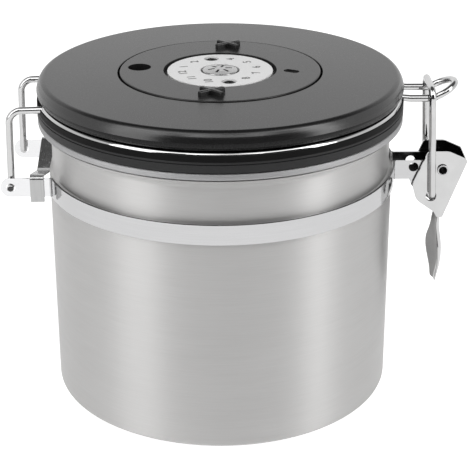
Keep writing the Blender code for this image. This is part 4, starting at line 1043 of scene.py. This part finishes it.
studio = {
    "room": 0.38, "dark": 0.04, "upper": 0.12, "sides": 0.78,
    "behindSpan": (-0.50, -0.25), "upperSpan": (0.55, 0.68), "sidesSpan": (0.35, 0.70),
    "floor": (0.60, 0.60, 0.60), "floorRough": 0.9, "floorSeen": 0.80, "floorMirrored": 0.50,
    "floorSize": 6.0, "floorDrop": 0.0002, "aim": (0, 0, 0.06),
}
softBoxes = {  # place, width and height, power in watts
    "boxLeft": ((-0.74, -0.54, 0.50), (0.52, 0.85), 3.1),
    "boxRight": ((0.80, -0.40, 0.50), (0.30, 0.85), 2.4),
    "boxFront": ((0.05, -0.92, 0.93), (0.90, 0.14), 1.1),
    "boxAboveLeft": ((-0.42, -0.42, 1.05), (1.05, 0.64), 3.7),
    "boxAboveRight": ((0.52, -0.42, 1.05), (0.85, 0.64), 2.9),
}


def addMath(tree, kind, one, other):
    node = tree.nodes.new("ShaderNodeMath")
    node.operation = kind
    for slot, value in zip(node.inputs, (one, other)):
        if isinstance(value, (int, float)):
            slot.default_value = value
        else:
            tree.links.new(value, slot)
    return node.outputs[0]


def rayKinds(tree):
    # Rays that see the background, straight or through glass, and glossy rays
    path = tree.nodes.new("ShaderNodeLightPath")
    seen = addMath(tree, "MAXIMUM", path.outputs["Is Camera Ray"], path.outputs["Is Transmission Ray"])
    return seen, path.outputs["Is Glossy Ray"]


def makeRoom(s):
    world = bpy.data.worlds.new("studioRoom")
    world.use_nodes = True
    tree = world.node_tree
    back = tree.nodes["Background"]
    back.inputs["Color"].default_value = (1, 1, 1, 1)
    seen, glossy = rayKinds(tree)
    coords = tree.nodes.new("ShaderNodeTexCoord")
    split = tree.nodes.new("ShaderNodeSeparateXYZ")
    tree.links.new(coords.outputs["Generated"], split.inputs["Vector"])
    behind = addRange(tree, split.outputs["Y"], (0, 1), s["behindSpan"])
    low = addRange(tree, split.outputs["Z"], (1, s["upper"]), s["upperSpan"])
    sides = addRange(tree, split.outputs["Y"], (s["sides"], 1), s["sidesSpan"])
    lit = addMath(tree, "MULTIPLY", addMath(tree, "MULTIPLY", behind, sides), low)
    sweep = addMath(tree, "MAXIMUM", lit, s["dark"])
    plain = addMath(tree, "MAXIMUM", seen, s["room"])
    away = addMath(tree, "MULTIPLY", plain, addMath(tree, "SUBTRACT", 1, glossy))
    strength = addMath(tree, "ADD", away, addMath(tree, "MULTIPLY", sweep, glossy))
    tree.links.new(strength, back.inputs["Strength"])
    bpy.context.scene.world = world


def makeFloor(s):
    bm = bmesh.new()
    bmesh.ops.create_grid(bm, x_segments=1, y_segments=1, size=s["floorSize"] / 2,
                          matrix=Matrix.Translation((0, 0, -s["floorDrop"])))
    floor = meshObject(bm, "studioFloor")
    material = bpy.data.materials.new("paleFloor")
    material.use_nodes = True
    tree = material.node_tree
    shader = tree.nodes["Principled BSDF"]
    shader.inputs["Base Color"].default_value = (*s["floor"], 1)
    shader.inputs["Roughness"].default_value = s["floorRough"]
    shader.inputs["Emission Color"].default_value = (1, 1, 1, 1)
    seen, glossy = rayKinds(tree)
    glow = addMath(tree, "ADD", addMath(tree, "MULTIPLY", seen, s["floorSeen"]),
                   addMath(tree, "MULTIPLY", glossy, s["floorMirrored"]))
    tree.links.new(glow, shader.inputs["Emission Strength"])
    floor.data.materials.append(material)


def makeSoftBox(name, place, size, power, aim):
    data = bpy.data.lights.new(name, "AREA")
    data.shape = "RECTANGLE"
    data.size, data.size_y = size
    data.energy = power
    lamp = newObject(name, data)
    lamp.location = place
    lamp.rotation_euler = (Vector(aim) - Vector(place)).to_track_quat("-Z", "Y").to_euler()
    lamp.visible_camera = False


makeRoom(studio)
makeFloor(studio)
for name, (place, size, power) in softBoxes.items():
    makeSoftBox(name, place, size, power, studio["aim"])
bpy.context.scene.view_settings.view_transform = "Standard"
print("studio ready")
